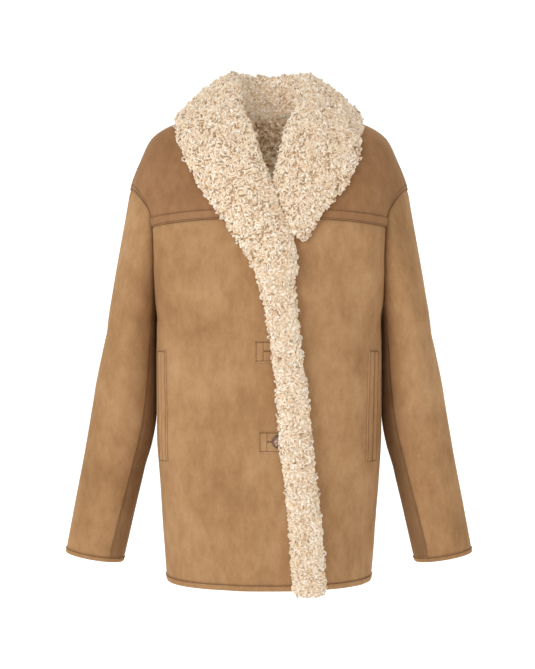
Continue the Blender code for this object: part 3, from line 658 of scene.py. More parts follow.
# %% Closed cloth from a grid of points
CLOSE_CLOTH = (0.0, 0.8, 1.8, 3.2, 5.4)      # mm from an edge to the rows that draw its roll
CLOSE_WELT = (0.0, 0.6, 1.3, 2.4)
CLOSE_STRIP = (0.0, 0.5, 1.1, 2.0)
EDGE_ROLL = (1.1, 2.6)       # mm that an edge rolls in by, and mm from the edge to where that starts
BAND_ROLL = (1.2, 1.8)
CUFF_ROLL = (1.1, 1.6)
EDGE_CURVE = 1.5
CLOTH_SHARP = 60.0           # degrees
CUT = {}                     # node: its piece, and the width, length and area of its cut, in metres


def spaced(length, step, close=CLOSE_CLOTH):
    """Shares of a length, one step apart, and closer together near both ends."""
    count = max(int(round((length - 2 * close[-1]) / step)) - 1, 2)
    inner = np.linspace(close[-1] + step, length - close[-1] - step, count)
    return np.concatenate([close, inner, length - np.array(close[::-1])]) / length


def unit(vectors):
    return vectors / np.maximum(np.linalg.norm(vectors, axis=-1, keepdims=True), 1e-9)


def grid_faces(index, flip):
    """One face for every cell of a grid of point numbers."""
    cells = np.stack([index[:-1, :-1], index[:-1, 1:], index[1:, 1:], index[1:, :-1]], axis=-1)
    cells = cells.reshape(-1, 4)
    return (cells[:, ::-1] if flip else cells).tolist()


def face_outward(piece, sharp_degrees):
    """Turns the faces of a closed piece outward, and marks its sharp edges."""
    builder = bmesh.new()
    builder.from_mesh(piece.data)
    bmesh.ops.recalc_face_normals(builder, faces=builder.faces)
    builder.to_mesh(piece.data)
    builder.free()
    piece.data.set_sharp_from_angle(angle=math.radians(sharp_degrees))


def half_area(piece):
    """Area of one face of a thin closed piece, in square metres."""
    return 0.5 * sum(face.area for face in piece.data.polygons)


def longest(points, axis):
    """Length of the longest line of points that runs along an axis of the grid."""
    steps = np.linalg.norm(np.diff(points, axis=axis), axis=2)
    return float(steps.sum(axis=axis).max())


def cut_cloth(node, form, u, v, size, flip, lift, wall, material, slot, roll=EDGE_ROLL, inside=None):
    """A closed piece of cloth that stands for a node. u and v are shares of its size in mm."""
    nearest = np.minimum(np.minimum(u, 1.0 - u) * size[0], np.minimum(v, 1.0 - v) * size[1])
    rolled = roll[0] * np.exp(-(nearest / roll[1]) ** EDGE_CURVE)
    normal = unit(np.cross(np.gradient(form, axis=1), np.gradient(form, axis=0)) * flip)
    outward = lift - crease_depth(form)
    outer = form + normal * (outward - rolled)[..., None]
    inner = form + normal * (outward - wall)[..., None]
    verts = np.concatenate([outer.reshape(-1, 3), inner.reshape(-1, 3)]) * MM
    index = np.arange(u.size).reshape(u.shape)
    outside_faces = grid_faces(index, False)
    inside_faces = grid_faces(index + u.size, True)
    border = np.concatenate([index[0], index[1:, -1], index[-1, -2::-1], index[-2:0:-1, 0]]).tolist()
    rim = [(b, a, a + u.size, b + u.size) for a, b in zip(border, border[1:] + border[:1])]
    slots = [0] * len(outside_faces) + [1] * len(inside_faces) + [0] * len(rim)
    name = "cloth_" + node
    piece = make_mesh(name, verts, outside_faces + inside_faces + rim, [material, inside or pile], slots)
    face_outward(piece, CLOTH_SHARP)
    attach(piece, "root")
    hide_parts(node)
    middle = 0.5 * (outer + inner)
    width, length, area = longest(middle, 1), longest(middle, 0), half_area(piece)
    CUT[node] = (piece, width * MM, length * MM, area)
    print(name, "cut mm:", round(width), "x", round(length), "area cm2:", round(1e4 * area, 1),
          "faces:", len(piece.data.polygons))


print("rows of a 30 mm strip, as shares:", np.round(spaced(30.0, 6.0), 2).tolist())

# %% [markdown]
# ## Fronts, yokes, back and their turned-up hem
# The right front laps over the left one, so its grid stands a wall's thickness further out where
# they overlap. The yokes and the parts below them end on one line, the yoke seam. A front could be
# bent from a flat sheet, but cutting it from the form keeps its seams shut.

# %% Body panels
#   height  x of the free edge
FREE_EDGE = {
    "right": [(-728, 82), (-509, 60), (-302, 38), (-218, 25), (-150, 4),
              (-90, -22), (-20, -52), (30, -68), (62, -75)],
    "left": [(-728, -22), (-302, -22), (-210, -20), (-150, 2), (-100, 20),
             (-30, 48), (30, 68), (62, 75)],
}
HEM_BAND, BAND_PROUD = 10.5, 0.8
TUCK = 1.2                   # mm that a panel's lower edge goes in behind its turn-up
CHEST_RISE = 200.0           # mm for one row; most rows rise faster, so their seams are a bit wider
SIDE_GAP = 0.0006            # share of a quarter of the girth, half the seam's 0.3 mm
BAND_UP = HEM_BAND / BODY_RISE
SEAM_UP = 0.5 * SEAM / CHEST_RISE
TUCK_UP = TUCK / BODY_RISE
SIDE_SEAM = 1.0 - SIDE_GAP
GRID_STEP = 6.6
BACK_STEP = GRID_STEP * 1.15
BAND_ROWS = [0.0, 0.1, 0.3, 0.6, 0.85, 1.0]
TOP_ROW = number(yoke_row(np.zeros(1)))
#   part         width and length in mm  material    slot
FRONT_PARTS = [
    ("front_", (268.0, 585.0), suede, "suede"),
    # the yokes take the darker suede: painted shade
    ("yoke_", (215.0, 225.0), suede_yoke, "suede_yoke"),
    ("hem_front_", (250.0, HEM_BAND), suede, "suede"),
]


def edge_share(side_name, up):
    """Where a front's free edge crosses the rows."""
    height = body(np.zeros(np.shape(up)), up, 1)[..., 2]
    return across_at(table_at(FREE_EDGE[side_name], height)[..., 0], up)


def lap_lift(x, side_name):
    """How far the right front is lifted by the left one under it."""
    return LAP_LIFT * ease(LAP_START, LAP_FULL, x) if side_name == "right" else 0.0 * x


def panel_grid(side_name, sign, part, u, v):
    """Shares across and rows for a part of a front."""
    outer = sign * SIDE_SEAM
    if part == "hem_front_":
        up = v * (BAND_UP - SEAM_UP)
        return mix(edge_share(side_name, up), outer, u), up
    middle_rows = mix(BAND_UP, TOP_ROW, v) if part == "front_" else mix(TOP_ROW, 2.0, v)
    across = mix(edge_share(side_name, middle_rows), outer, u)
    seam_row = yoke_row(mix(edge_share(side_name, np.full(u.shape, TOP_ROW)), outer, u))
    if part == "front_":
        return across, mix(BAND_UP - TUCK_UP, seam_row - SEAM_UP, v)
    return across, mix(seam_row + SEAM_UP, 2.0, v)


for side_name, sign in SIDES:
    for part, size, material, slot in FRONT_PARTS:
        is_band = part == "hem_front_"
        rows = BAND_ROWS if is_band else spaced(size[1], GRID_STEP)
        v, u = np.meshgrid(rows, spaced(size[0], GRID_STEP), indexing="ij")
        form = body(*panel_grid(side_name, sign, part, u, v), 1)
        proud = BAND_PROUD if is_band else 0.0
        cut_cloth(part + side_name, form, u, v, size, sign, lap_lift(form[..., 0], side_name) + proud,
                  WALL + proud, material, slot, BAND_ROLL if is_band else EDGE_ROLL)

# %% [markdown]
# ### The back
# The back is one wide piece with a curved neck. Hardly any of it shows from the front, so it is
# kept plain, with its points a little further apart.

# %% Back
BACK_NECK_DROP, NECK_SHARE = 0.27, 0.26
BACK_SIZE, BACK_HEM_SIZE = (520.0, 790.0), (470.0, HEM_BAND)


def back_top(across):
    """The back's top row: the shoulder seam, and the curve of the neck between its ends."""
    share = np.clip(np.abs(across) / NECK_SHARE, 0.0, 1.0)
    return 2.0 - BACK_NECK_DROP * np.sqrt(1.0 - share * share)


v, u = np.meshgrid(spaced(BACK_SIZE[1], BACK_STEP), spaced(BACK_SIZE[0], BACK_STEP), indexing="ij")
across = mix(-SIDE_SEAM, SIDE_SEAM, u)
form = body(across, mix(BAND_UP - TUCK_UP, back_top(across), v), -1)
cut_cloth("back", form, u, v, BACK_SIZE, -1.0, 0.0, WALL, suede, "suede")

v, u = np.meshgrid(BAND_ROWS, spaced(BACK_HEM_SIZE[0], BACK_STEP), indexing="ij")
form = body(mix(-SIDE_SEAM, SIDE_SEAM, u), v * (BAND_UP - SEAM_UP), -1)
cut_cloth("hem_back", form, u, v, BACK_HEM_SIZE, -1.0, BAND_PROUD, WALL + BAND_PROUD, suede, "suede",
          BAND_ROLL)

# %% [markdown]
# ## Sleeves
# Each sleeve is cut in two: a wide top sleeve and a narrow under sleeve that lies against the
# body. The seam between them shows down the front. The cuff is turned up and stitched. Both sleeves
# come from one form, mirrored, because a coat is cut in pairs.

# %% Sleeves and cuffs
CUFF_BAND = 8.5
SLEEVE_LENGTH = 560.0        # mm, about, from the armhole to the cuff
SLEEVE_GIRTH = 320.0         # mm, near the cuff
SLEEVE_TUCK = 0.002          # share of the length that goes in behind the cuff
CUFF_SHARE = 1.0 - CUFF_BAND / SLEEVE_LENGTH
SEAM_TURN = SEAM / SLEEVE_GIRTH
CUFF_ROWS = [0.0, 0.15, 0.4, 0.7, 0.9, 1.0]
#   part          width and length in mm  material
SLEEVE_PARTS = [
    ("sleeve_top_", (250.0, 590.0), suede),
    # the under sleeve takes the darker suede: painted shade
    ("sleeve_under_", (105.0, 430.0), suede_under_painted_shade),
    ("cuff_", (300.0, CUFF_BAND), suede),
]


def mirror(points, sign):
    return points * np.array([sign, 1.0, 1.0])


for side_name, sign in SIDES:
    for part, size, material in SLEEVE_PARTS:
        is_cuff = part == "cuff_"
        rows = CUFF_ROWS if is_cuff else spaced(size[1], GRID_STEP)
        v, u = np.meshgrid(rows, spaced(size[0], GRID_STEP), indexing="ij")
        share = mix(CUFF_SHARE, 1.0, v) if is_cuff else v * (CUFF_SHARE + SLEEVE_TUCK)
        front_seam = table_at(FRONT_SEAM, share)[..., 0]
        back_seam = table_at(BACK_SEAM, share)[..., 0]
        turn = front_seam + SEAM_TURN + u * (1.0 - 2.0 * SEAM_TURN)
        if part == "sleeve_top_":
            turn = mix(back_seam - 1.0 + SEAM_TURN, front_seam - SEAM_TURN, u)
        if part == "sleeve_under_":
            turn = mix(front_seam + SEAM_TURN, back_seam - SEAM_TURN, u)
        proud = BAND_PROUD if is_cuff else 0.0
        cut_cloth(part + side_name, mirror(sleeve(turn, share), sign), u, v, size, sign, proud,
                  WALL + proud, material, "suede", CUFF_ROLL if is_cuff else EDGE_ROLL)

# %% [markdown]
# ## Small cloth parts
# The lapped strip along the yoke seam, the pocket welts and the button tabs are narrow pieces
# laid on the panels. Each keeps its solid's place and has rounded, turned edges. The suede is on
# both faces, because a real strip is folded over.

# %% Yoke strips, welts and tabs
YOKE_LAP, LAP_LENGTH, LAP_END = 16.0, 112.0, 0.93
LAP_X = {"right": 62.0, "left": 73.0}        # where a strip starts at the fur
LAP_MEASURED = 0.4                           # share across at which the seam's row is read
POCKET_TOP, POCKET_BOTTOM = -354.0, -532.0
POCKET_LENGTH = POCKET_TOP - POCKET_BOTTOM
POCKET_X = {"right": (160.0, 163.0), "left": (152.0, 157.0)}     # at the bottom and at the top
WELT_WIDTH = 12.0
WELTS = {"front": (0.0, 0.052), "side": (0.057, 0.095)}          # shares across, from the pocket's X
TAB_HEIGHT = 34.0
#        name    left   right  top
TABS = {"upper": (-22.0, 16.0, -340.0), "lower": (-16.0, 26.0, -480.5)}
LAID_REACH = 0.9


def laid_piece(node, side_name, flip, across, up, u, v, size, lift, thick, roll_depth, material, slot):
    """A thin piece on the front: its grid is moved out from the panel under it."""
    form = body(across, up, 1)
    outward = lap_lift(form[..., 0], side_name) + lift + thick
    cut_cloth(node, form, u, v, size, flip, outward, thick, material, slot, (roll_depth, LAID_REACH),
              material)


def lap_start(side_name):
    return number(across_at(LAP_X[side_name], yoke_row(LAP_MEASURED)))


def pocket_line(side_name, share):
    """The front edge of a pocket: how far across it is, and its rows, from bottom to top."""
    up = row_of(mix(POCKET_BOTTOM, POCKET_TOP, share))
    return across_at(mix(*POCKET_X[side_name], share), up), up


for side_name, sign in SIDES:
    # the yoke strips take the yoke's darker suede: painted shade
    v, u = np.meshgrid(spaced(YOKE_LAP, 2.4, CLOSE_STRIP), spaced(LAP_LENGTH, 4.0), indexing="ij")
    across = sign * mix(lap_start(side_name), LAP_END, u)
    up = mix(yoke_row(across), yoke_row(across, YOKE_LAP), v)
    laid_piece("yoke_lap_" + side_name, side_name, sign, across, up, u, v, (LAP_LENGTH, YOKE_LAP),
               0.5, 1.5, 1.125, suede_yoke, "suede_yoke")

for side_name, sign in SIDES:
    for welt, (start, end) in WELTS.items():
        v, u = np.meshgrid(spaced(POCKET_LENGTH, 5.0, CLOSE_WELT), spaced(WELT_WIDTH, 2.2, CLOSE_STRIP),
                           indexing="ij")
        across, up = pocket_line(side_name, v)
        across = sign * (across + mix(start, end, u))
        laid_piece("pocket_%s_%s" % (welt, side_name), side_name, sign, across, up, u, v,
                   (WELT_WIDTH, POCKET_LENGTH), 0.4, 1.9, 1.425, suede, "suede")

for tab_name, (left, right, top) in TABS.items():
    v, u = np.meshgrid(spaced(TAB_HEIGHT, 3.0, CLOSE_STRIP), spaced(right - left, 3.0, CLOSE_STRIP),
                       indexing="ij")
    up = row_of(mix(top - TAB_HEIGHT, top, v))
    laid_piece("tab_" + tab_name, "right", 1.0, across_at(mix(left, right, u), up), up, u, v,
               (right - left, TAB_HEIGHT), 0.2, 1.5, 1.0, suede, "suede")

# %% [markdown]
# ## Curly fur
# Each curl is a tapered tube with a hooked, wavy path, rooted in a warm-toned backing. Thousands
# of them are built as one mesh from arrays. Neighbouring curls lean roughly the same way, so the
# pile breaks into locks, and each curl has its own tone, which the material reads. Thin single
# hairs would look like long fur, where steamed pile shows as thick separate curls.

# %% Fur backing from a solid
def smooth_copy(node):
    """A rounder copy of a solid's mesh, in millimetres: points, normals and triangles."""
    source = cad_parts[node]
    copy = bpy.data.objects.new("fur_source", source.data.copy())
    bpy.context.scene.collection.objects.link(copy)
    copy.matrix_world = source.matrix_world
    weld = copy.modifiers.new("weld", "WELD")
    weld.merge_threshold = 0.00001
    rounder = copy.modifiers.new("round", "SUBSURF")
    rounder.levels = 1
    graph = bpy.context.evaluated_depsgraph_get()
    mesh = bpy.data.meshes.new_from_object(copy.evaluated_get(graph))
    mesh.transform(copy.matrix_world)
    bpy.data.objects.remove(copy, do_unlink=True)
    mesh.calc_loop_triangles()

    def triples(items, field, kind):
        values = np.empty(len(items) * 3, dtype=kind)
        items.foreach_get(field, values)
        return values.reshape(-1, 3)
    points, normals = triples(mesh.vertices, "co", float) / MM, triples(mesh.vertices, "normal", float)
    triangles = triples(mesh.loop_triangles, "vertices", int)
    bpy.data.meshes.remove(mesh)
    print("rounded", node, "points:", len(points))
    return points, normals, triangles


def scatter(points, normals, triangles, count, keep, rng):
    """Random places on the triangles, by area, where keep(point, normal) holds."""
    corners = points[triangles]
    edges = corners[:, 1:] - corners[:, :1]
    area = 0.5 * np.linalg.norm(np.cross(edges[:, 0], edges[:, 1]), axis=1)
    area = area * keep(corners.mean(axis=1), normals[triangles].mean(axis=1))
    chosen = triangles[rng.choice(len(triangles), size=count, p=area / area.sum())]
    a, b = rng.random(count), rng.random(count)
    over = a + b > 1.0
    a, b = np.where(over, 1.0 - a, a), np.where(over, 1.0 - b, b)
    weights = np.stack([1.0 - a - b, a, b], axis=1)[..., None]
    normal = (normals[chosen] * weights).sum(axis=1)
    return (points[chosen] * weights).sum(axis=1), unit(normal), float(area.sum())


# %% [markdown]
# ### One curl, thousands of times
# A curl's path goes out along its lean, waves to the sides and comes up and over in a hook. Every
# curl gets its own length, wave and height from seeded random numbers, so each run gives the same
# fur. Three sides and six rings are enough, because a curl is only a few millimetres thick.

# %% Curls as one mesh
CURL_LENGTH = 14.0           # mm, along the lean
CURL_WIDTH = 3.9             # mm, at the thickest
CURL_SINK = 4.6              # mm from the tips of the pile down to the roots
CURL_RINGS, CURL_SIDES = 6, 3
CURL_REACH = (0.6, 1.15)     # share of the length
CURL_WAVE = (1.2, 2.6)       # mm to either side
CURL_TURNS = (0.6, 1.15)     # waves along a curl
CURL_HEIGHT = (3.2, 6.4)     # mm
CURL_STRAY = 4.5             # mm more, for the few that stand up
CURL_FULLNESS = (0.7, 1.2)   # share of the width
LOCK_TURN, LOCK_SCATTER = 0.9, 0.55          # radians


def store(piece, name, kind, field, values):
    """Stores a value for every point, which the fur's material reads."""
    attribute = piece.data.attributes.new(name, kind, "POINT")
    attribute.data.foreach_set(field, values.reshape(-1))


def curl_mesh(name, place, normal, rng, material, tone_shift, tone_spread):
    """All the curls of a piece: wavy, hooked, tapered tubes."""
    count = len(place)
    down = np.array([0.0, 0.0, -1.0])
    down = unit(down - normal * (normal @ down)[:, None] + 1e-4)
    side = np.cross(normal, down)
    # neighbours lean the same way, so that the pile breaks into locks
    swirl = (1.5 * np.sin(place[:, 0] / 8.0 + 1.3 * np.sin(place[:, 2] / 11.0))
             + 1.2 * np.sin(place[:, 2] / 7.0 + place[:, 1] / 9.0))
    angle = swirl * LOCK_TURN + rng.normal(0.0, LOCK_SCATTER, count)
    lean = down * np.cos(angle)[:, None] + side * np.sin(angle)[:, None]
    cross = np.cross(normal, lean)
    reach = CURL_LENGTH * rng.uniform(*CURL_REACH, count)
    wave = rng.uniform(*CURL_WAVE, count) * np.where(rng.random(count) < 0.5, -1.0, 1.0)
    phase = rng.uniform(0.0, 2.0 * math.pi, count)
    turns = rng.uniform(*CURL_TURNS, count)
    height = rng.uniform(*CURL_HEIGHT, count) + CURL_STRAY * rng.random(count) ** 4
    width = 0.5 * CURL_WIDTH * rng.uniform(*CURL_FULLNESS, count)
    # the path: out along the lean, waving to the sides, up and over in a hook
    s = np.linspace(0.0, 1.0, CURL_RINGS)
    onward = reach[:, None] * (s - 0.35 * s ** 3 - 0.3)
    sideways = wave[:, None] * np.sin(2 * math.pi * turns[:, None] * s + phase[:, None])
    upward = height[:, None] * np.sin(math.pi * s ** 0.8 * 0.86)
    path = (place - normal * CURL_SINK)[:, None, :]
    for direction, distance in ((lean, onward), (cross, sideways), (normal, upward)):
        path = path + direction[:, None, :] * distance[..., None]
    tangent = unit(np.gradient(path, axis=1))
    first = unit(np.cross(tangent, normal[:, None, :] + 0.01))
    second = np.cross(tangent, first)
    radius = width[:, None] * np.clip(np.sin(math.pi * (0.14 + 0.8 * s)) ** 0.6, 0.25, 1.0)
    rings = []
    for corner in range(CURL_SIDES):
        turn = 2.0 * math.pi * corner / CURL_SIDES
        rings.append(path + (first * math.cos(turn) + second * math.sin(turn)) * radius[..., None])
    verts = np.stack(rings, axis=2).reshape(-1, 3) * MM
    quads = []
    for low in range(0, (CURL_RINGS - 1) * CURL_SIDES, CURL_SIDES):
        high = low + CURL_SIDES
        for corner in range(CURL_SIDES):
            beside = (corner + 1) % CURL_SIDES
            quads.append((low + corner, low + beside, high + beside, high + corner))
    starts = np.arange(count) * CURL_RINGS * CURL_SIDES
    faces = (np.array(quads)[None] + starts[:, None, None]).reshape(-1, 4)
    root = np.arange(CURL_SIDES)[::-1]
    tip = np.arange(CURL_SIDES) + (CURL_RINGS - 1) * CURL_SIDES
    caps = np.concatenate([starts[:, None] + tip, starts[:, None] + root])
    piece = make_mesh(name, verts, faces.tolist() + caps.tolist(), [material])
    own = rng.normal(0.0, tone_spread, count)
    # tone rises from root to tip: painted shade at the roots, a painted highlight at the tips; own is each
    # curl's random tone
    tone = np.clip(0.42 + 0.5 * s[None] ** 0.7 + own[:, None] + tone_shift, 0.0, 1.0)
    store(piece, "tone", "FLOAT", "value", np.repeat(tone[..., None], CURL_SIDES, axis=2))
    store(piece, "lay", "FLOAT_VECTOR", "vector", np.repeat(normal, CURL_RINGS * CURL_SIDES, axis=0))
    return piece


print("points to a curl:", CURL_RINGS * CURL_SIDES)

# %% [markdown]
# ### Collar, front edge and neck lining
# The collar halves and the front edge are turned-back parts of one fur facing, and brushed pile
# hides the seams between them. So the ends of the pieces are run into each other before the curls
# are rooted. The lining is shaded by the collar, so its pile is darker at the roots and less even.

# %% The fur pieces
TONE_SPREAD, LINING_SPREAD = 0.13, 0.24      # how far single curls differ in tone
BACKING_DEPTH, LINING_DEPTH = 4.2, 2.0       # mm from the solid's face down to the backing
BACKING_BUMPS = 0.9          # mm


def joined(node, points):
    """Runs the ends of the fur pieces into each other, as brushed pile hides its seams."""
    x, y, z = points[:, 0].copy(), points[:, 1].copy(), points[:, 2].copy()
    if node.startswith("collar"):
        sign = -1.0 if node.endswith("right") else 1.0
        x -= sign * 4.5 * (1.0 - ease(0.0, 14.0, np.abs(x))) * (y > 30.0)
    if node == "collar_right":
        tip = 1.0 - ease(-234.0, -206.0, z)
        x -= 0.09 * tip * (x - 8.5)
        z -= 9.0 * tip
    if node == "front_fur_edge":
        z += 12.0 * ease(-256.0, -236.0, z)
    if node == "lining_back":
        near_top = ease(z.max() - 26.0, z.max(), z)
        x *= 1.0 + 0.12 * near_top
        z += 21.0 * near_top
    return np.stack([x, y, z], axis=1)


def fur_piece(node, count, batches, keep, seed, slot="fur", tone_shift=0.0, tone_spread=TONE_SPREAD,
              depth=BACKING_DEPTH):
    """Backing and curls that stand for one fur solid."""
    rng = np.random.default_rng(seed)
    points, normals, triangles = smooth_copy(node)
    points = joined(node, points)
    bumps = BACKING_BUMPS * np.sin(points[:, 0] / 3.1) * np.sin(points[:, 1] / 2.7 + points[:, 2] / 3.4)
    backing_points = (points - normals * (depth + bumps)[:, None]) * MM
    material = fur_inside_painted_shade if slot == "fur_lining" else fur
    backing = make_mesh("fur_backing_" + node, backing_points, triangles.tolist(), [material])
    store(backing, "tone", "FLOAT", "value", np.full(len(points), 0.5 + tone_shift))
    store(backing, "lay", "FLOAT_VECTOR", "vector", normals)
    pieces = [backing]
    for batch in range(batches):
        place, normal, area = scatter(points, normals, triangles, count, keep, rng)
        pieces.append(curl_mesh("fur_curls_%s_%d" % (node, batch + 1), place, normal, rng,
                                material, tone_shift, tone_spread))
        print(node, "curls:", count, "triangles:", len(pieces[-1].data.loop_triangles),
              "area cm2:", round(area / 100.0))
    for piece in pieces:
        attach(piece, "root")
    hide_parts(node)
    return pieces


def shows(centre, facing):
    """Fur faces that can be seen: all but those that lie on the cloth below."""
    hidden = (facing[:, 1] > 0.3) & (centre[:, 1] < -55.0)
    hidden |= (facing[:, 2] < -0.55) & (centre[:, 2] > -40.0) & (np.abs(centre[:, 0]) > 50.0)
    return np.where(hidden, 0.0, 1.0)


def shows_inside(centre, facing):
    """The lining shows on the face that looks to the front."""
    return np.where(facing[:, 1] < 0.0, 1.0, 0.05)


FUR = {
    "collar_right": fur_piece("collar_right", 4300, 2, shows, 11),
    "collar_left": fur_piece("collar_left", 4100, 2, shows, 12),
    "front_fur_edge": fur_piece("front_fur_edge", 5000, 1, shows, 13),
    # the tone shift of -0.1 darkens the lining further: painted shade under the collar
    "lining_back": fur_piece("lining_back", 2400, 1, shows_inside, 14, "fur_lining", -0.1,
                             LINING_SPREAD, LINING_DEPTH),
}

# %% [markdown]
# ## Sewing
# Topstitching holds the seams flat. A lockstitch shows as short dashes, here 3.8 mm apart, each
# sunk a little into the nap. They follow the same rows and shares as the panels. Each is a small
# tapered rod, because a drawn line would lie flat and catch no light.

# %% Stitches
STITCH_PITCH, STITCH_LENGTH, STITCH_RADIUS = 3.8, 3.1, 0.6
STITCH_RINGS = ((-0.5, 0.35), (-0.25, 1.0), (0.25, 1.0), (0.5, 0.35))    # shares of length and radius
STITCH_SINK = 0.4            # mm that the ends of a stitch go down by
PATH_STEP = 0.004            # share of a row that a direction is measured over
LINE_POINTS, TAB_POINTS, WELT_POINTS = 240, 30, 40
HEM_INSET, LAP_INSET = 1.6, 1.8              # mm from the edge to the stitches


def along(points, pitch):
    """Places one pitch apart on a path, with the direction of the path there."""
    steps = np.linalg.norm(np.diff(points, axis=0), axis=1)
    run = np.concatenate([[0.0], np.cumsum(steps)])
    marks = np.arange(0.5 * pitch, run[-1], pitch)

    def point_at(distance):
        return np.stack([np.interp(distance, run, points[:, axis]) for axis in range(3)], axis=1)
    return point_at(marks), unit(point_at(marks + 0.5) - point_at(marks - 0.5)), marks / run[-1]


class Sewing:
    """Collects stitches and makes them one mesh."""

    def __init__(self):
        self.verts = []
        self.faces = []

    def line(self, points, normals):
        place, direction, shares = along(points, STITCH_PITCH)
        index = np.clip((shares * (len(normals) - 1)).round().astype(int), 0, len(normals) - 1)
        normal = normals[index]
        side = unit(np.cross(direction, normal))
        for centre, forward, up, across in zip(place, direction, normal, side):
            start = len(self.verts)
            for reach, radius in STITCH_RINGS:
                ring = centre + forward * reach * STITCH_LENGTH - up * (1.0 - radius) * STITCH_SINK
                for a, b in ((1, 0), (0, 1), (-1, 0), (0, -1)):
                    self.verts.append(ring + (across * a + up * b) * radius * STITCH_RADIUS)
            for low in range(start, start + 12, 4):
                for corner in range(4):
                    beside = (corner + 1) % 4
                    self.faces.append((low + corner, low + beside, low + 4 + beside, low + 4 + corner))
            self.faces.append((start + 3, start + 2, start + 1, start))
            self.faces.append((start + 12, start + 13, start + 14, start + 15))

    def finish(self, name):
        piece = make_mesh(name, np.array(self.verts) * MM, self.faces, [thread])
        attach(piece, "root")
        print(name, "stitches:", len(self.verts) // 16)
        return piece


def on_body(across, up, side, rise, side_name):
    """Path and normals on the body's cloth, for stitches that stand a little proud."""
    form = body(across, up, side)
    onward = [body(np.clip(across + step, -1, 1), up, side) for step in (PATH_STEP, -PATH_STEP)]
    rising = [body(across, np.clip(up + step, 0, 2), side) for step in (PATH_STEP, -PATH_STEP)]
    normal = unit(np.cross(onward[0] - onward[1], rising[0] - rising[1])) * side
    lift = rise - crease_depth(form) + lap_lift(form[:, 0], side_name)
    return form + normal * lift[:, None], normal


def on_sleeve(turn, share, rise, sign):
    """Path and normals on a sleeve's cloth."""
    around = sleeve(turn + PATH_STEP, share) - sleeve(turn - PATH_STEP, share)
    onward = sleeve(turn, np.clip(share + PATH_STEP, 0, 1)) - sleeve(turn, np.clip(share - PATH_STEP, 0, 1))
    form, normal = mirror(sleeve(turn, share), sign), mirror(unit(np.cross(around, onward)), sign)
    return form + normal * (rise - crease_depth(form))[:, None], normal


sewing = Sewing()
hem_row = np.full(LINE_POINTS, BAND_UP - HEM_INSET / BODY_RISE)
for side_name, sign in SIDES:
    # hem
    start = number(edge_share(side_name, BAND_UP))
    sewing.line(*on_body(np.linspace(start, sign, LINE_POINTS), hem_row, 1, BAND_PROUD + 0.1, side_name))
    # yoke strip, near its lower and upper edges
    across = sign * np.linspace(lap_start(side_name), LAP_END, LINE_POINTS)
    for above in (LAP_INSET, YOKE_LAP - LAP_INSET):
        sewing.line(*on_body(across, yoke_row(across, above), 1, 2.0, side_name))
    # armhole, two lines on the body, front and back, above the deep part of the fold
    up = np.linspace(1.34, 1.985, LINE_POINTS)
    row_length = 150.0 + 60.0 * ease(1.4, 1.8, up)
    for inset in (3.0, 9.0):
        for side in (1, -1):
            sewing.line(*on_body(sign * (1.0 - inset / row_length), up, side, 0.1, side_name))
    # shoulder seam
    across = sign * np.linspace(0.5, 0.985, LINE_POINTS)
    sewing.line(*on_body(across, np.full(LINE_POINTS, 1.975), 1, 0.05, side_name))
    # pocket welts: down their outer edges, and across both ends
    across, up = pocket_line(side_name, np.linspace(0.012, 0.988, LINE_POINTS))
    for share in (0.008, 0.088):
        sewing.line(*on_body(sign * (across + share), up, 1, 2.3, side_name))
    for end in (0.012, 0.988):
        across, up = pocket_line(side_name, end)
        across = number(across) + np.linspace(0.004, 0.09, WELT_POINTS)
        sewing.line(*on_body(sign * across, np.full(WELT_POINTS, up), 1, 2.3, side_name))
sewing.line(*on_body(np.linspace(-1.0, 1.0, LINE_POINTS), hem_row, -1, BAND_PROUD + 0.1, "back"))
# tabs: a frame near the edge, an upright line where the end is turned under, and two close rows
# along the buttonhole
share = np.linspace(0.0, 1.0, TAB_POINTS)
for left, right, top in TABS.values():
    near, low, high = left + 1.8, top - TAB_HEIGHT + 3.6, top - 1.6
    hole_start, hole_end, hole_height = left + 13.0, left + 26.0, top - 0.45 * TAB_HEIGHT
    tab_lines = [(right, high, near, high), (near, high, near, low), (near, low, right, low),
                 (left + 12.5, low, left + 12.5, high),
                 (hole_start, hole_height - 0.7, hole_end, hole_height - 0.7),
                 (hole_start, hole_height + 0.7, hole_end, hole_height + 0.7)]
    for x0, z0, x1, z1 in tab_lines:
        up = row_of(mix(z0, z1, share))
        sewing.line(*on_body(across_at(mix(x0, x1, share), up), up, 1, 1.8, "right"))
body_stitches = sewing.finish("stitches_body")

sewing = Sewing()
for side_name, sign in SIDES:
    turn = np.linspace(0.0, 1.0, LINE_POINTS)
    sewing.line(*on_sleeve(turn, np.full(LINE_POINTS, CUFF_SHARE + 0.0028), BAND_PROUD + 0.1, sign))
    share = np.linspace(0.24, 0.975, LINE_POINTS)
    sewing.line(*on_sleeve(table_at(FRONT_SEAM, share)[:, 0] - 0.009, share, 0.1, sign))
sleeve_stitches = sewing.finish("stitches_sleeves")

# %% [markdown]
# ## The button
# The button is pressed resin: a dark raised rim round a pearly dished face with four holes, held
# by thread. It is turned as a profile, as the mould of a real one is, and thread crosses the dish
# between the holes.

# %% Button
BUTTON_RADIUS = 11.0
BUTTON_SHARP = 50.0          # degrees
BUTTON_TURNS = 56            # steps round the button
FACE_ROW = 6                 # the row of the profile where the rim ends
low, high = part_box("button_lower")
button_centre = (low + high) / 2.0 / MM
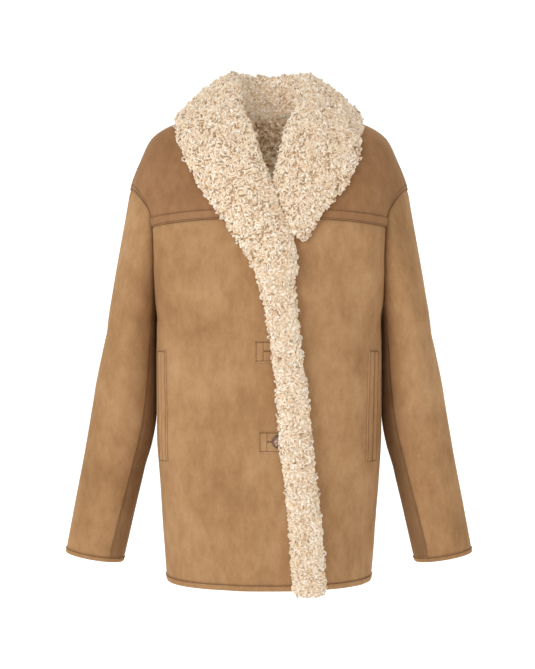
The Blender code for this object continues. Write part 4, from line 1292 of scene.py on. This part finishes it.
#   radius   height
BUTTON_PROFILE = [
    (9.2, -1.6), (10.6, -1.0), (BUTTON_RADIUS, 0.2), (10.7, 1.3), (10.0, 1.9), (9.2, 2.0),
    (8.5, 1.7), (7.9, 1.0), (6.0, 0.55), (3.0, 0.45),
]
rows = len(BUTTON_PROFILE)
button_verts, button_faces, button_slots = [], [], []
for step in range(BUTTON_TURNS):
    turn = 2.0 * math.pi * step / BUTTON_TURNS
    for radius, height in BUTTON_PROFILE:
        button_verts.append((radius * math.cos(turn), -height, radius * math.sin(turn)))
    near, far = step * rows, (step + 1) % BUTTON_TURNS * rows
    for row in range(rows - 1):
        button_faces.append((near + row, near + row + 1, far + row + 1, far + row))
        button_slots.append(1 if row >= FACE_ROW else 0)
first_points = range(0, BUTTON_TURNS * rows, rows)
button_faces += [list(first_points), [point + rows - 1 for point in first_points][::-1]]
button_slots += [0, 1]
button = make_mesh("resin_button", (np.array(button_verts) + np.array(button_centre)) * MM, button_faces,
                   [resin_rim, resin_face], button_slots)
face_outward(button, BUTTON_SHARP)
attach(button, "root")
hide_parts("button_lower")

THREAD_X, THREAD_Z, THREAD_LEVEL = 1.9, 2.4, -0.9        # mm from the button's centre
sewing = Sewing()
for x_side in (-1.0, 1.0):
    share = np.linspace(-1.0, 1.0, 8)
    path = stack(x_side * THREAD_X, THREAD_LEVEL, THREAD_Z * share) + button_centre
    sewing.line(path, np.tile([0.0, -1.0, 0.0], (8, 1)))
sewing.finish("button_thread")
print("button centre mm:", [round(value, 1) for value in button_centre])

# %% [markdown]
# ## The flat sizes of the sheets
# Every panel's flat cut, measured along its middle layer, was stored when the panel was made. The
# table lists the narrow turn-ups, strips, welts and tabs sewn to each panel. The fur is cloth too. Its
# area is measured on the backing, its length is an estimate, and its width follows from the two.

# %% Flat sizes
#   panel               pieces sewn to it
PANELS = {
    "front_right": ["hem_front_right", "pocket_front_right", "pocket_side_right", "tab_upper", "tab_lower"],
    "front_left": ["hem_front_left", "pocket_front_left", "pocket_side_left"],
    "yoke_right": ["yoke_lap_right"],
    "yoke_left": ["yoke_lap_left"],
    "back": ["hem_back"],
    "sleeve_top_right": ["cuff_right"],
    "sleeve_top_left": ["cuff_left"],
    "sleeve_under_right": [],
    "sleeve_under_left": [],
}
for panel, sewn in PANELS.items():
    piece, width, length, area = CUT[panel]
#   metres, estimated along each piece
FUR_LENGTH = {"collar_right": 0.50, "collar_left": 0.44, "front_fur_edge": 0.50, "lining_back": 0.17}
FUR_FILL = 0.85              # share of the cut's rectangle that the shaped piece takes, estimated
for node, (backing, *curls) in FUR.items():
    area = half_area(backing)
    length = FUR_LENGTH[node]
    width = area / length / FUR_FILL
    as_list(curls)
    print(node, "cut mm:", round(width / MM), "x", round(length / MM), "area cm2:", round(1e4 * area))
